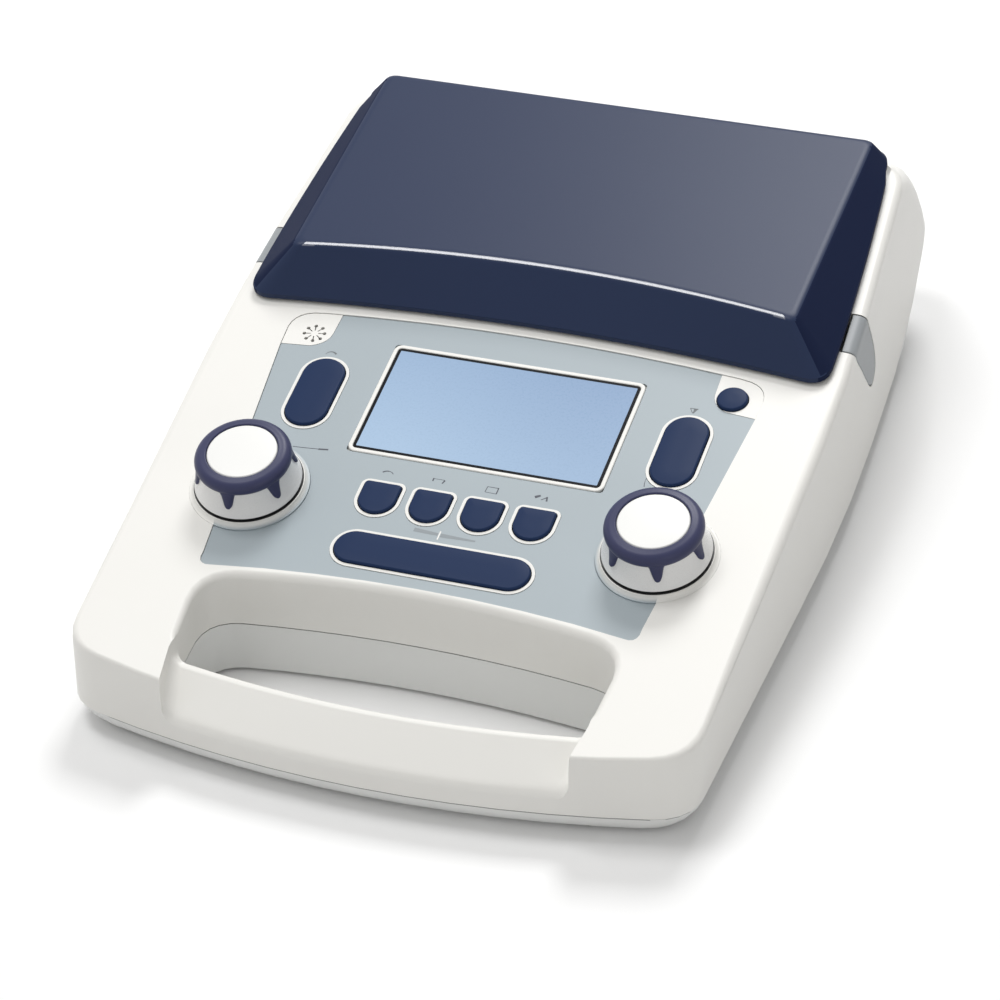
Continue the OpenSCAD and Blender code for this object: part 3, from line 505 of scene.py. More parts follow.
@dataclass(frozen=True)
class CollarBlend:
    """White collar plastic that fades to the panel's grey at its rim, where it lies on the panel.

    Attributes:
        name: the material's name.
        colour: its own colour, linear.
        panel: the panel's colour, linear.
        middle: the knob's middle as (u, v).
        rim: radii between which it fades.
        edge: distance of the panel's side from the knob's middle, and its slant.
        gloss: lowest roughness.
    """

    name: str
    colour: Colour
    panel: Colour
    middle: Point = (80.1, -45.2)
    rim: Point = (21.0, 22.9)
    edge: Point = (8.2, 0.096)
    gloss: float = 0.36

    def build(self, effects: SharedEffects) -> Material:
        """Makes the material.

        Args:
            effects: the shared groups.

        Returns:
            The material.
        """
        material, tree, shader = new_material(self.name)
        coords = add_node(tree, "ShaderNodeTexCoord")
        axes = add_node(tree, "ShaderNodeSeparateXYZ")
        side = add_node(tree, "ShaderNodeMath", operation="ABSOLUTE")
        folded = add_node(tree, "ShaderNodeCombineXYZ")
        seat = DECK @ Matrix.Translation((self.middle[0] * MM, self.middle[1] * MM, 0.0))
        local = add_node(tree, "ShaderNodeMapping", vector_type="TEXTURE")
        local.inputs["Location"].default_value = seat.to_translation()
        local.inputs["Rotation"].default_value = seat.to_euler()
        place = add_node(tree, "ShaderNodeSeparateXYZ")
        flat = add_node(tree, "ShaderNodeVectorMath", operation="MULTIPLY")
        flat.inputs[1].default_value = (1.0, 1.0, 0.0)
        radius = add_node(tree, "ShaderNodeVectorMath", operation="LENGTH")
        fade = add_node(tree, "ShaderNodeMapRange", interpolation_type="SMOOTHSTEP")
        fade.inputs["From Min"].default_value = self.rim[0] * MM
        fade.inputs["From Max"].default_value = self.rim[1] * MM
        line = add_node(tree, "ShaderNodeMath", operation="MULTIPLY_ADD")
        line.inputs[1].default_value = self.edge[1]
        line.inputs[2].default_value = self.edge[0] * MM
        inside = add_node(tree, "ShaderNodeMath", operation="LESS_THAN")
        mask = add_node(tree, "ShaderNodeMath", operation="MULTIPLY")
        tree.links.new(coords.outputs["Object"], axes.inputs[0])
        tree.links.new(axes.outputs["X"], side.inputs[0])
        tree.links.new(side.outputs[0], folded.inputs["X"])
        tree.links.new(axes.outputs["Y"], folded.inputs["Y"])
        tree.links.new(axes.outputs["Z"], folded.inputs["Z"])
        tree.links.new(folded.outputs[0], local.inputs["Vector"])
        tree.links.new(local.outputs["Vector"], place.inputs[0])
        tree.links.new(local.outputs["Vector"], flat.inputs[0])
        tree.links.new(flat.outputs[0], radius.inputs[0])
        tree.links.new(radius.outputs["Value"], fade.inputs["Value"])
        tree.links.new(place.outputs["Y"], line.inputs[0])
        tree.links.new(place.outputs["X"], inside.inputs[0])
        tree.links.new(line.outputs[0], inside.inputs[1])
        tree.links.new(fade.outputs["Result"], mask.inputs[0])
        tree.links.new(inside.outputs[0], mask.inputs[1])
        tree.links.new(mixed(tree, mask.outputs[0], self.colour, self.panel), shader.inputs["Base Color"])
        grain = add_node(tree, "ShaderNodeGroup", node_tree=effects.grain)
        grain.inputs["Gloss"].default_value = self.gloss
        tree.links.new(grain.outputs["Roughness"], shader.inputs["Roughness"])
        return material


class Finish(Enum):
    """Every finish on the audiometer."""

    # painted shade: HOUSING and WELL darken their joints and creases from ambient occlusion
    HOUSING = MouldedPlastic("housing_white", (0.83, 0.82, 0.785), (0.79, 0.78, 0.745), gloss=0.36,
                             crevice=0.85)
    WELL = MouldedPlastic("base_white", (0.78, 0.785, 0.77), (0.74, 0.745, 0.73), gloss=0.42, crevice=0.85)
    COLLAR = CollarBlend("collar_blend", (0.83, 0.82, 0.785), (0.365, 0.42, 0.45))
    OVERLAY = MouldedPlastic("overlay_grey", (0.365, 0.42, 0.45), (0.34, 0.39, 0.42), gloss=0.34,
                             grain_mm=0.35, depth_mm=0.006, specular=0.4)
    KEY = MouldedPlastic("key_navy", (0.014, 0.030, 0.084), (0.018, 0.035, 0.091), gloss=0.32,
                         grain_mm=0.3, depth_mm=0.004, specular=0.08)
    RING = MouldedPlastic("ring_navy", (0.036, 0.040, 0.098), (0.042, 0.046, 0.105), gloss=0.32,
                          grain_mm=0.3, depth_mm=0.004, specular=0.25)
    LID = MouldedPlastic("lid_navy", (0.015, 0.027, 0.071), (0.019, 0.032, 0.078), gloss=0.29,
                         grain_mm=0.5, depth_mm=0.005, specular=0.18)
    # painted shade: the lid's side faces, darker and duller than its top
    LID_SIDE = MouldedPlastic("lid_side", (0.012, 0.018, 0.048), (0.014, 0.021, 0.053), gloss=0.5,
                              grain_mm=0.5, depth_mm=0.005, specular=0.03)
    # painted highlight: a lighter, glossier band along the lid's front crease
    CREASE = MouldedPlastic("lid_crease", (0.040, 0.052, 0.100), (0.046, 0.058, 0.106), gloss=0.18,
                            grain_mm=0.5, depth_mm=0.002, specular=1.0, coat=0.6)
    LATCH = MouldedPlastic("latch_grey", (0.30, 0.32, 0.335), (0.27, 0.29, 0.30), gloss=0.4)
    # painted shade: dark grey for the shadow in the parting groove
    JOINT = MouldedPlastic("joint_shade", (0.30, 0.30, 0.29), (0.34, 0.34, 0.33), gloss=0.6, specular=0.1)
    SKIRT = MouldedPlastic("skirt_silver", (0.80, 0.80, 0.795), (0.72, 0.72, 0.715), gloss=0.22,
                           grain_mm=0.3, depth_mm=0.003, coat=0.4)
    CAP = MouldedPlastic("cap_white", (0.86, 0.86, 0.84), (0.82, 0.82, 0.80), gloss=0.3)
    BORDER = MouldedPlastic("window_border", (0.003, 0.004, 0.006), (0.006, 0.007, 0.009), gloss=0.3,
                            grain_mm=0.3, depth_mm=0.001, specular=0.08)
    SCREEN = LitScreen()
    PRINT = MouldedPlastic("print_dark", (0.05, 0.055, 0.075), (0.07, 0.075, 0.095), gloss=0.5)
    PRINT_GREY = MouldedPlastic("print_grey", (0.13, 0.145, 0.155), (0.16, 0.175, 0.185), gloss=0.5)
    # painted shade: the soft grey of two shallow grooves over the bar key
    PRINT_SOFT = MouldedPlastic("print_soft", (0.25, 0.28, 0.30), (0.29, 0.32, 0.34), gloss=0.5)
    # black of the sockets; also painted shade on each collar's top, in the gap under the skirt
    SOCKET = MouldedPlastic("socket_black", (0.012, 0.012, 0.013), (0.02, 0.02, 0.021), gloss=0.35)
    RUBBER = MouldedPlastic("foot_rubber", (0.02, 0.02, 0.02), (0.035, 0.035, 0.033), gloss=0.7,
                            grain_mm=0.8, depth_mm=0.03)
    BOARD = MouldedPlastic("board_green", (0.015, 0.09, 0.045), (0.02, 0.11, 0.055), gloss=0.3)
    LINER = MouldedPlastic("liner_grey", (0.30, 0.33, 0.35), (0.27, 0.30, 0.32), gloss=0.5,
                           grain_mm=1.2, depth_mm=0.04)
    STEEL = TurnedMetal("pin_steel", (0.55, 0.56, 0.58))


class Palette:
    """Builds each finish once and hands it out."""

    def __init__(self) -> None:
        """Builds the shared effects; finishes follow when asked for."""
        self.effects = SharedEffects()
        self.made: dict[Finish, Material] = {}

    def __getitem__(self, finish: Finish) -> Material:
        """The finish's material, built when it is first asked for.

        Args:
            finish: the finish.

        Returns:
            Its material.
        """
        if finish not in self.made:
            self.made[finish] = finish.value.build(self.effects)
        return self.made[finish]


# ---------------------------------------------------------------- mesh helpers


@dataclass
class Workshop:
    """What every sub-assembly needs to make and place its pieces.

    Attributes:
        frame: the loaded frame.
        palette: the finishes.
        made: names of the pieces made so far.
        face_weight: how strongly large faces rule the shading at their corners.
        merge: distance within which a CAD mesh's vertices are one, in metres.
        flat_deg: bend below which a CAD mesh's faces are one.
    """

    frame: dict
    palette: Palette
    made: list[str] = field(default_factory=list)
    face_weight: int = 60
    merge: float = 2e-6
    flat_deg: float = 0.3

    def place(self, name: str, mesh: bmesh.types.BMesh, finishes: Sequence[Finish], body: Body | str,
              replaces: Sequence[str] = (), slot: str | None = None, sharp: float = 38.0,
              at: Matrix = DECK_MM) -> Object:
        """Writes a bmesh into an object that rides on a body.

        Args:
            name: the piece's name.
            mesh: the mesh, in its own coordinates; it is freed here.
            finishes: its finishes, in order of material index.
            body: the body it rides on.
            replaces: CAD nodes that it stands for.
            slot: the record's material slot, if not the node's own; not used.
            sharp: edges that turn more than this many degrees stay crisp.
            at: matrix from the mesh's coordinates to the frame.

        Returns:
            The new object.
        """
        bmesh.ops.transform(mesh, matrix=at, verts=mesh.verts)
        for face in mesh.faces:
            face.smooth = True
        limit = math.radians(sharp)
        for edge in mesh.edges:
            edge.smooth = len(edge.link_faces) == 2 and edge.calc_face_angle(0.0) < limit
        data = bpy.data.meshes.new(name)
        mesh.to_mesh(data)
        mesh.free()
        for finish in finishes:
            data.materials.append(self.palette[finish])
        piece = bpy.data.objects.new(name, data)
        bpy.context.scene.collection.objects.link(piece)
        weigh = piece.modifiers.new("even_normals", "WEIGHTED_NORMAL")
        weigh.keep_sharp = True
        weigh.weight = self.face_weight
        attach(piece, body.value if isinstance(body, Body) else body)
        if replaces:
            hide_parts(*replaces)
        self.made.append(name)
        LOG.info("made %s (%d faces) on %s", name, len(data.polygons), body)
        return piece

    def copy_of(self, node: str) -> bmesh.types.BMesh:
        """A merged working copy of a CAD node's mesh, in metres.

        Args:
            node: the node's name.

        Returns:
            The copy, with doubles merged and flat regions joined.
        """
        mesh = bmesh.new()
        mesh.from_mesh(self.frame["nodes"][node].data)
        bmesh.ops.remove_doubles(mesh, verts=mesh.verts, dist=self.merge)
        bmesh.ops.dissolve_limit(mesh, angle_limit=math.radians(self.flat_deg), verts=mesh.verts,
                                 edges=mesh.edges, use_dissolve_boundaries=False)
        return mesh


def rounded_block(width: float, height: float, radius: float, segments: int, foot: Sequence[float],
                  rise: float) -> bmesh.types.BMesh:
    """An upright block with rounded corners.

    Args:
        width: size along u.
        height: size along v.
        radius: radius of its corners.
        segments: segments in each corner.
        foot: middle of its lower face.
        rise: its size along w.

    Returns:
        The closed mesh.
    """
    mesh = bmesh.new()
    bmesh.ops.create_grid(mesh, x_segments=1, y_segments=1, size=0.5)
    bmesh.ops.scale(mesh, vec=(width, height, 1.0), verts=mesh.verts)
    for sx, sy in ((-1, -1), (1, -1), (1, 1), (-1, 1)):
        place = Vector((sx * width / 2, sy * height / 2, 0))
        corner = min(mesh.verts, key=lambda vert: (vert.co - place).length)
        bmesh.ops.bevel(mesh, geom=[corner], offset=radius, offset_type="OFFSET", segments=segments,
                        profile=0.5, affect="VERTICES", clamp_overlap=False, material=-1)
    bmesh.ops.remove_doubles(mesh, verts=mesh.verts, dist=1e-4)
    bmesh.ops.translate(mesh, vec=foot, verts=mesh.verts)
    made = bmesh.ops.extrude_face_region(mesh, geom=list(mesh.faces), use_keep_orig=True)
    upper = [part for part in made["geom"] if isinstance(part, bmesh.types.BMVert)]
    bmesh.ops.translate(mesh, vec=(0, 0, rise), verts=upper)
    bmesh.ops.recalc_face_normals(mesh, faces=mesh.faces)
    return mesh


def loft(rings: Sequence[Sequence[Sequence[float]]]) -> bmesh.types.BMesh:
    """A closed mesh through rings of equal length, with both ends capped.

    Args:
        rings: the rings, each a list of points in space.

    Returns:
        The mesh.
    """
    mesh = bmesh.new()
    loops = []
    for ring in rings:
        verts = [mesh.verts.new(point) for point in ring]
        loops.append([mesh.edges.new(pair) for pair in zip(verts, verts[1:] + verts[:1])])
    for low, high in zip(loops, loops[1:]):
        bmesh.ops.bridge_loops(mesh, edges=low + high)
    for end in (loops[0], loops[-1]):
        bmesh.ops.contextual_create(mesh, geom=end)
    bmesh.ops.recalc_face_normals(mesh, faces=mesh.faces)
    return mesh


def key_cap(outline: Callable[[float], Sequence[Point]], foot: float, top: float, edge: float,
            crown: float, reach: float) -> bmesh.types.BMesh:
    """A key cap with a rounded upper edge and a faint crown.

    Args:
        outline: gives the key's outline grown by a distance.
        foot: height of the cap's foot.
        top: height of the cap where its crown starts.
        edge: radius of the rounded edge.
        crown: how far the middle rises above that.
        reach: how far in from the rounded edge the crown spreads.

    Returns:
        The cap's mesh.
    """
    steps = [(0.0, foot), (0.0, top - edge)]
    steps += [(edge * (1 - math.cos(a)), top - edge + edge * math.sin(a))
              for a in (math.radians(15 * i) for i in range(1, 7))]
    steps += [(edge + reach * i / 4, top + crown * (1 - (1 - i / 4) ** 2)) for i in range(1, 5)]
    return loft([[(x, y, w) for x, y in outline(-inset)] for inset, w in steps])


def turned(profile: Sequence[Point], steps: int = 128) -> bmesh.types.BMesh:
    """A solid of revolution about w through the origin.

    Args:
        profile: (r, w) points along the section.
        steps: segments of the full turn.

    Returns:
        The spun mesh.
    """
    mesh = bmesh.new()
    verts = [mesh.verts.new((r, 0.0, w)) for r, w in profile]
    edges = [mesh.edges.new(pair) for pair in zip(verts, verts[1:])]
    bmesh.ops.spin(mesh, geom=verts + edges, cent=(0, 0, 0), axis=(0, 0, 1), dvec=(0, 0, 0),
                   angle=math.tau, steps=steps, use_merge=True, use_duplicate=False)
    bmesh.ops.remove_doubles(mesh, verts=mesh.verts, dist=1e-4)
    bmesh.ops.recalc_face_normals(mesh, faces=mesh.faces)
    return mesh


def arc(centre: Point, radius: float, start: float, stop: float, count: int) -> list[Point]:
    """Points along an arc in a plane.

    Args:
        centre: the arc's centre.
        radius: its radius.
        start: first angle in degrees.
        stop: last angle in degrees.
        count: number of steps.

    Returns:
        The points.
    """
    return [(centre[0] + radius * math.cos(math.radians(a)), centre[1] + radius * math.sin(math.radians(a)))
            for a in (start + (stop - start) * i / count for i in range(count + 1))]


def bow(across: float, radius: float) -> float:
    """How far an arc of a radius has fallen back at a distance from its middle."""
    return radius - math.sqrt(radius * radius - across * across)


def curve(first: Point, bend: Point, last: Point, count: int) -> list[Point]:
    """Points along a quadratic curve.

    Args:
        first: its start.
        bend: the point that pulls it.
        last: its end.
        count: number of steps.

    Returns:
        The points.
    """
    steps = [i / count for i in range(count + 1)]
    return [tuple(a * (1 - t) ** 2 + b * 2 * t * (1 - t) + c * t * t for a, b, c in zip(first, bend, last))
            for t in steps]


def between(table: Sequence[Point], key: float) -> float:
    """Reads a value from a table by straight-line interpolation.

    Args:
        table: (key, value) pairs with falling keys.
        key: where to read it.

    Returns:
        The value there, held constant past both ends.
    """
    for (k0, v0), (k1, v1) in zip(table, table[1:]):
        if key >= k1:
            return v1 + (v0 - v1) * min(1.0, (key - k1) / (k0 - k1))
    return table[-1][1]


# ---------------------------------------------------------------- sub-assemblies


@dataclass
class Housing:
    """The two shells, as merged and evenly shaded copies of their solids.

    The rounded front edge of the carrying bar is drawn out to a crisper one. Its section is given
    as (s, z) in millimetres, s running back from the foot of the front face. The top edge of the
    lower shell is painted dark grey as shade in the parting groove, where that runs level.

    Attributes:
        shop: the workshop.
        front_y: the front's foremost place.
        front_bow_r: radius of the front's bow.
        bar_half: half widths at which the crisp edge starts to fade and has gone.
        edge_s: places along s between which the edge is drawn out.
        edge_z: heights between which it is drawn out.
        middle: the point of the section from which it is drawn out.
        floor_line: height of the bar's floor at s = 0, and its slope.
        face_line: height of the front face's foot, and its lean.
        edge_r: radius that is left on the edge.
        edge_soft: how much that radius rounds the edge.
        edge_reach: how far from the edge the rounding runs, in radii.
        joint_band: heights between which the painted shade of the parting groove shows.
        joint_half: half width beyond which that painted shade shows at the sides.
        joint_y: place in front of which that painted shade shows.
    """

    shop: Workshop
    front_y: float = -192.2
    front_bow_r: float = 450.0
    bar_half: Point = (66.0, 74.0)
    edge_s: Point = (-0.6, 5.4)
    edge_z: Point = (12.0, 22.4)
    middle: Point = (6.0, 14.0)
    floor_line: Point = (18.63, 0.667)
    face_line: Point = (11.0, 0.089)
    edge_r: float = 1.4
    edge_soft: float = 0.35
    edge_reach: float = 1.5
    joint_band: Point = (10.1, 11.1)
    joint_half: float = 112.0
    joint_y: float = -180.0

    def drawn_out(self, s: float, z: float) -> Point:
        """Where a point of the bar's rounded front edge goes.

        Args:
            s: distance behind the foot of the front face.
            z: height.

        Returns:
            The point on the crisp section, on the same ray from the section's middle.
        """
        tiny = 1e-6
        ds, dz = s - self.middle[0], z - self.middle[1]
        level, slope = self.floor_line
        foot, lean = self.face_line
        to_floor = (level + slope * self.middle[0] - self.middle[1]) / max(tiny, dz - slope * ds)
        to_face = (lean * (self.middle[1] - foot) - self.middle[0]) / min(-tiny, ds - lean * dz)
        near, far = sorted((to_floor, to_face))
        soft = self.edge_r / math.hypot(ds, dz)
        at_edge = max(0.0, 1.0 - (far - near) / (self.edge_reach * soft))
        reach = near - self.edge_soft * soft * at_edge ** 2
        return self.middle[0] + ds * reach, self.middle[1] + dz * reach

    def sharpen_bar(self, mesh: bmesh.types.BMesh) -> None:
        """Draws out the bar's rounded front edge.

        Args:
            mesh: the top shell, in metres; its outer skin is moved in place.
        """
        inner, outer = self.bar_half
        for vert in mesh.verts:
            x, y, z = (c / MM for c in vert.co)
            share = min(1.0, max(0.0, (outer - abs(x)) / (outer - inner)))
            s = y - self.front_y - x * x / (2 * self.front_bow_r)
            on_edge = self.edge_s[0] < s < self.edge_s[1] and self.edge_z[0] < z < self.edge_z[1]
            if share > 0 and on_edge:
                new_s, new_z = self.drawn_out(s, z)
                vert.co.y += share * (new_s - s) * MM
                vert.co.z += share * (new_z - z) * MM

    def shade_joint(self, mesh: bmesh.types.BMesh) -> None:
        """Paints the level part of the parting groove dark grey as its shade.

        Args:
            mesh: the bottom shell, in metres.
        """
        low, high = self.joint_band
        bmesh.ops.bisect_plane(mesh, geom=mesh.verts[:] + mesh.edges[:] + mesh.faces[:],
                               plane_co=(0, 0, low * MM), plane_no=(0, 0, 1))
        for face in mesh.faces:
            middle = face.calc_center_median() / MM
            # painted shade: faces of the groove's ledge take the dark grey second finish
            if low < middle.z < high and (abs(middle.x) > self.joint_half or middle.y < self.joint_y):
                face.material_index = 1

    def build(self) -> None:
        """Makes both shells."""
        top, base = self.shop.copy_of("top_shell"), self.shop.copy_of("bottom_shell")
        self.sharpen_bar(top)
        self.shade_joint(base)
        self.shop.place("housing_top", top, [Finish.HOUSING], Body.HOUSING,
                        ["top_shell"], "housing_white", at=AS_IS)
        self.shop.place("housing_base", base, [Finish.WELL, Finish.JOINT], Body.HOUSING,
                        ["bottom_shell"], "housing_white", at=AS_IS)


@dataclass
class Lid:
    """The navy lid over the headset compartment, with its hinge knuckles.

    The lower outline swells at its sides, and the top is a plane that falls to the rear from a
    bowed crease at the front.

    Attributes:
        shop: the workshop.
        front_half: half width of the lower outline at its front corners.
        front_v: place of the lower front edge.
        rear_v: place of the lower rear edge.
        side_v: place from which the sides draw in.
        side_taper: how much they draw in for each millimetre.
        side_swell: how much faster they do so with the square of it.
        lower_bow_r: radius of the lower front edge's bow.
        lower_corner: size of the lower outline's corners.
        crease_v: place of the crease at the middle.
        crease_w: height of the top at level_v.
        crease_sets: how far the top is narrower than the front, at its front and rear.
        crease_bow_r: radius of the crease's bow.
        crease_corner: size of the top's corners.
        crease_r: how far the crease's rounding reaches on both faces.
        crease_out: how far the rounding's control points lie outside the crease.
        rear_in: how far the top ends before the lower rear edge.
        rear_w: height to which crease_w falls between slope_v and rear_v, which gives the top's slope.
        slope_v: place from which that fall is measured.
        level_v: place at which the sloping top is crease_w high.
        wall: wall thickness.
        gap: running gap under the lower edge.
        edge_r: radius of the lower edge.
        brim: height and inset of the ring where the side leaves the lower edge upright.
        slant: height and inset of the ring where it starts to slant.
        glint: half width of the band along the crease that takes the painted highlight.
        dull_end: how far that band ends before the front corners.
        side_turn: how far a face turns sideways to take the sides' darker painted shade.
        axis: the hinge's place as (v, w).
        knuckle_r: radius of a hinge knuckle.
        knuckle_length: its length.
        web: height of the web that carries it.
        knuckles: places of the knuckles on both sides.
    """

    shop: Workshop
    front_half: float = 117.5
    front_v: float = 56.0
    rear_v: float = 179.5
    side_v: float = 62.0
    side_taper: float = 0.03
    side_swell: float = 0.00036
    lower_bow_r: float = 1000.0
    lower_corner: float = 10.0
    crease_v: float = 75.0
    crease_w: float = 17.7
    crease_sets: Point = (16.5, 15.9)
    crease_bow_r: float = 580.0
    crease_corner: float = 4.0
    crease_r: float = 1.9
    crease_out: float = 0.6
    rear_in: float = 3.0
    rear_w: float = 10.2
    slope_v: float = 73.5
    level_v: float = 70.0
    wall: float = 2.2
    gap: float = 0.8
    edge_r: float = 0.5
    brim: Point = (3.0, 0.0)
    slant: Point = (3.5, 0.4)
    glint: float = 0.85
    dull_end: float = 21.0
    side_turn: float = 0.4
    axis: Point = (172.5, 4.2)
    knuckle_r: float = 3.4
    knuckle_length: float = 5.6
    web: float = 4.6
    knuckles: Point = (81.8, 94.2)

    @property
    def slope(self) -> float:
        """Rise of the top for each millimetre towards the rear; it is negative."""
        return (self.rear_w - self.crease_w) / (self.rear_v - self.slope_v)

    def half(self, v: float) -> float:
        """Half width of the lower outline.

        Args:
            v: place up the slope.

        Returns:
            The half width there.
        """
        back = v - self.side_v
        return self.front_half - self.side_taper * back - self.side_swell * back ** 2

    def outline(self, upper: bool, inset: float, w: float) -> list[tuple[float, float, float]]:
        """One ring of the lid.

        Args:
            upper: whether it runs along the crease, and not along the lower edge.
            inset: how far it is drawn in.
            w: its height, for an upper ring at level_v.

        Returns:
            The ring's points.
        """
        front = (self.crease_v if upper else self.front_v) + inset
        rear = (self.rear_v - self.rear_in if upper else self.rear_v) - inset
        bow_r, corner = ((self.crease_bow_r, self.crease_corner) if upper
                         else (self.lower_bow_r, self.lower_corner))
        at_front = (self.front_half - self.crease_sets[0] if upper else self.half(self.side_v)) - inset
        at_rear = (self.front_half - self.crease_sets[1] if upper else self.half(rear)) - inset
        low = front - bow(at_front, bow_r)
        first, last = low + corner, rear - corner
        front_steps, corner_steps, side_steps, rear_steps = 20, 10, 14, 16
        right = []
        for u in ((at_front - corner) * i / front_steps for i in range(front_steps)):
            right.append((u, front - bow(u, bow_r)))
        right += curve((at_front - corner, front - bow(at_front - corner, bow_r)), (at_front, low),
                       (at_front, first), corner_steps)
        for share in (i / side_steps for i in range(1, side_steps)):
            v = first + (last - first) * share
            straight = at_front - (at_front - at_rear) * share
            right.append((straight if upper else self.half(v) - inset, v))
        right += curve((at_rear, last), (at_rear, rear), (at_rear - corner, rear), corner_steps)
        right += [((at_rear - corner) * (1 - i / rear_steps), rear) for i in range(1, rear_steps + 1)]
        ring = right + [(-u, v) for u, v in reversed(right[1:-1])]
        return [(u, v, w + (self.slope * (v - self.level_v) if upper else 0.0)) for u, v in ring]

    def on_crease(self, point: Vector) -> bool:
        """Whether a point lies on the narrow band along the crease that takes the painted highlight.

        Args:
            point: the point, in millimetres.

        Returns:
            True on the band.
        """
        v = self.crease_v - self.crease_out - bow(point.x, self.crease_bow_r)
        away = math.hypot(point.y - v, point.z - self.crease_w - self.slope * (v - self.level_v))
        return away < self.glint and abs(point.x) < self.front_half - self.dull_end

    def rounding(self) -> list[list[tuple[float, ...]]]:
        """Rings across the rounded crease, from the slanting sides to the top.

        Returns:
            The rings.
        """
        crease = self.outline(True, -self.crease_out, self.crease_w)
        lower = self.outline(False, self.slant[1], self.slant[0])
        inner = self.outline(True, self.crease_r, self.crease_w)
        rings = []
        for share in (0.0, 0.17, 0.33, 0.5, 0.67, 0.83, 1.0):
            ring = []
            for at_crease, at_lower, at_top in zip(map(Vector, crease), map(Vector, lower),
                                                   map(Vector, inner)):
                outer = at_crease + (at_lower - at_crease).normalized() * self.crease_r
                ring.append(tuple(outer.lerp(at_crease, share).lerp(at_crease.lerp(at_top, share), share)))
            rings.append(ring)
        return rings

    def shell(self) -> bmesh.types.BMesh:
        """The hollow lid, from the top of its hollow round its lower edge to its top.

        Returns:
            The mesh.
        """
        wall, gap, edge_r = self.wall, self.gap, self.edge_r
        rings = [self.outline(True, wall - 0.8, self.crease_w - wall),
                 self.outline(False, wall, 2.6), self.outline(False, wall, gap + 0.2),
                 self.outline(False, wall - 0.2, gap), self.outline(False, edge_r, gap)]
        rings += [self.outline(False, edge_r - edge_r * math.sin(a), gap + edge_r - edge_r * math.cos(a))
                  for a in (math.radians(30 * i) for i in (1, 2, 3))]
        rings += [self.outline(False, self.brim[1], self.brim[0]), self.outline(False, 0.12, 3.3),
                  self.outline(False, self.slant[1], self.slant[0])]
        mesh = loft(rings + self.rounding())
        for face in mesh.faces:
            if self.on_crease(face.calc_center_median()):
                # painted highlight: the band takes the lighter, glossier second finish
                face.material_index = 1
            elif abs(face.normal.x) > self.side_turn:
                # painted shade: side faces take the darker, duller third finish
                face.material_index = 2
        return mesh

    def add_knuckle(self, mesh: bmesh.types.BMesh, u: float) -> None:
        """Adds one hinge knuckle with its web.

        Args:
            mesh: the lid.
            u: the knuckle's place.
        """
        barrel = bmesh.ops.create_cone(mesh, cap_ends=True, segments=32, radius1=self.knuckle_r,
                                       radius2=self.knuckle_r, depth=self.knuckle_length)["verts"]
        bmesh.ops.rotate(mesh, verts=barrel, matrix=Matrix.Rotation(math.pi / 2, 3, "Y"))
        web = bmesh.ops.create_cube(mesh, size=1.0)["verts"]
        bmesh.ops.scale(mesh, vec=(self.knuckle_length, 2 * self.knuckle_r, self.web), verts=web)
        bmesh.ops.translate(mesh, vec=(0, 0, self.web / 2), verts=web)
        bmesh.ops.translate(mesh, vec=(u, *self.axis), verts=barrel + web)

    def build(self) -> None:
        """Makes the lid."""
        mesh = self.shell()
        for side in Side:
            for u in self.knuckles:
                self.add_knuckle(mesh, side.value * u)
        self.shop.place("lid_shell", mesh, [Finish.LID, Finish.CREASE, Finish.LID_SIDE], Body.LID,
                        ["lid"], "navy_plastic", sharp=32)


@dataclass
class Latches:
    """The two side latches, as copies of their solids with softened edges.

    Attributes:
        shop: the workshop.
        edge_r: width of the softened edges.
        edge_deg: least bend of an edge that is softened.
    """

    shop: Workshop
    edge_r: float = 0.35
    edge_deg: float = 40.0

    def build(self) -> None:
        """Makes both latches."""
        for side, body in ((Side.LEFT, Body.LATCH_LEFT), (Side.RIGHT, Body.LATCH_RIGHT)):
            node = f"latch_{side.word}"
            piece = self.shop.place(f"latch_tongue_{side.word}", self.shop.copy_of(node), [Finish.LATCH],
                                    body, [node], "latch_grey", at=AS_IS, sharp=50)
            soft = piece.modifiers.new("softened_edges", "BEVEL")
            soft.width = self.edge_r * MM
            soft.segments = 3
            soft.limit_method = "ANGLE"
            soft.angle_limit = math.radians(self.edge_deg)
            soft.use_clamp_overlap = True


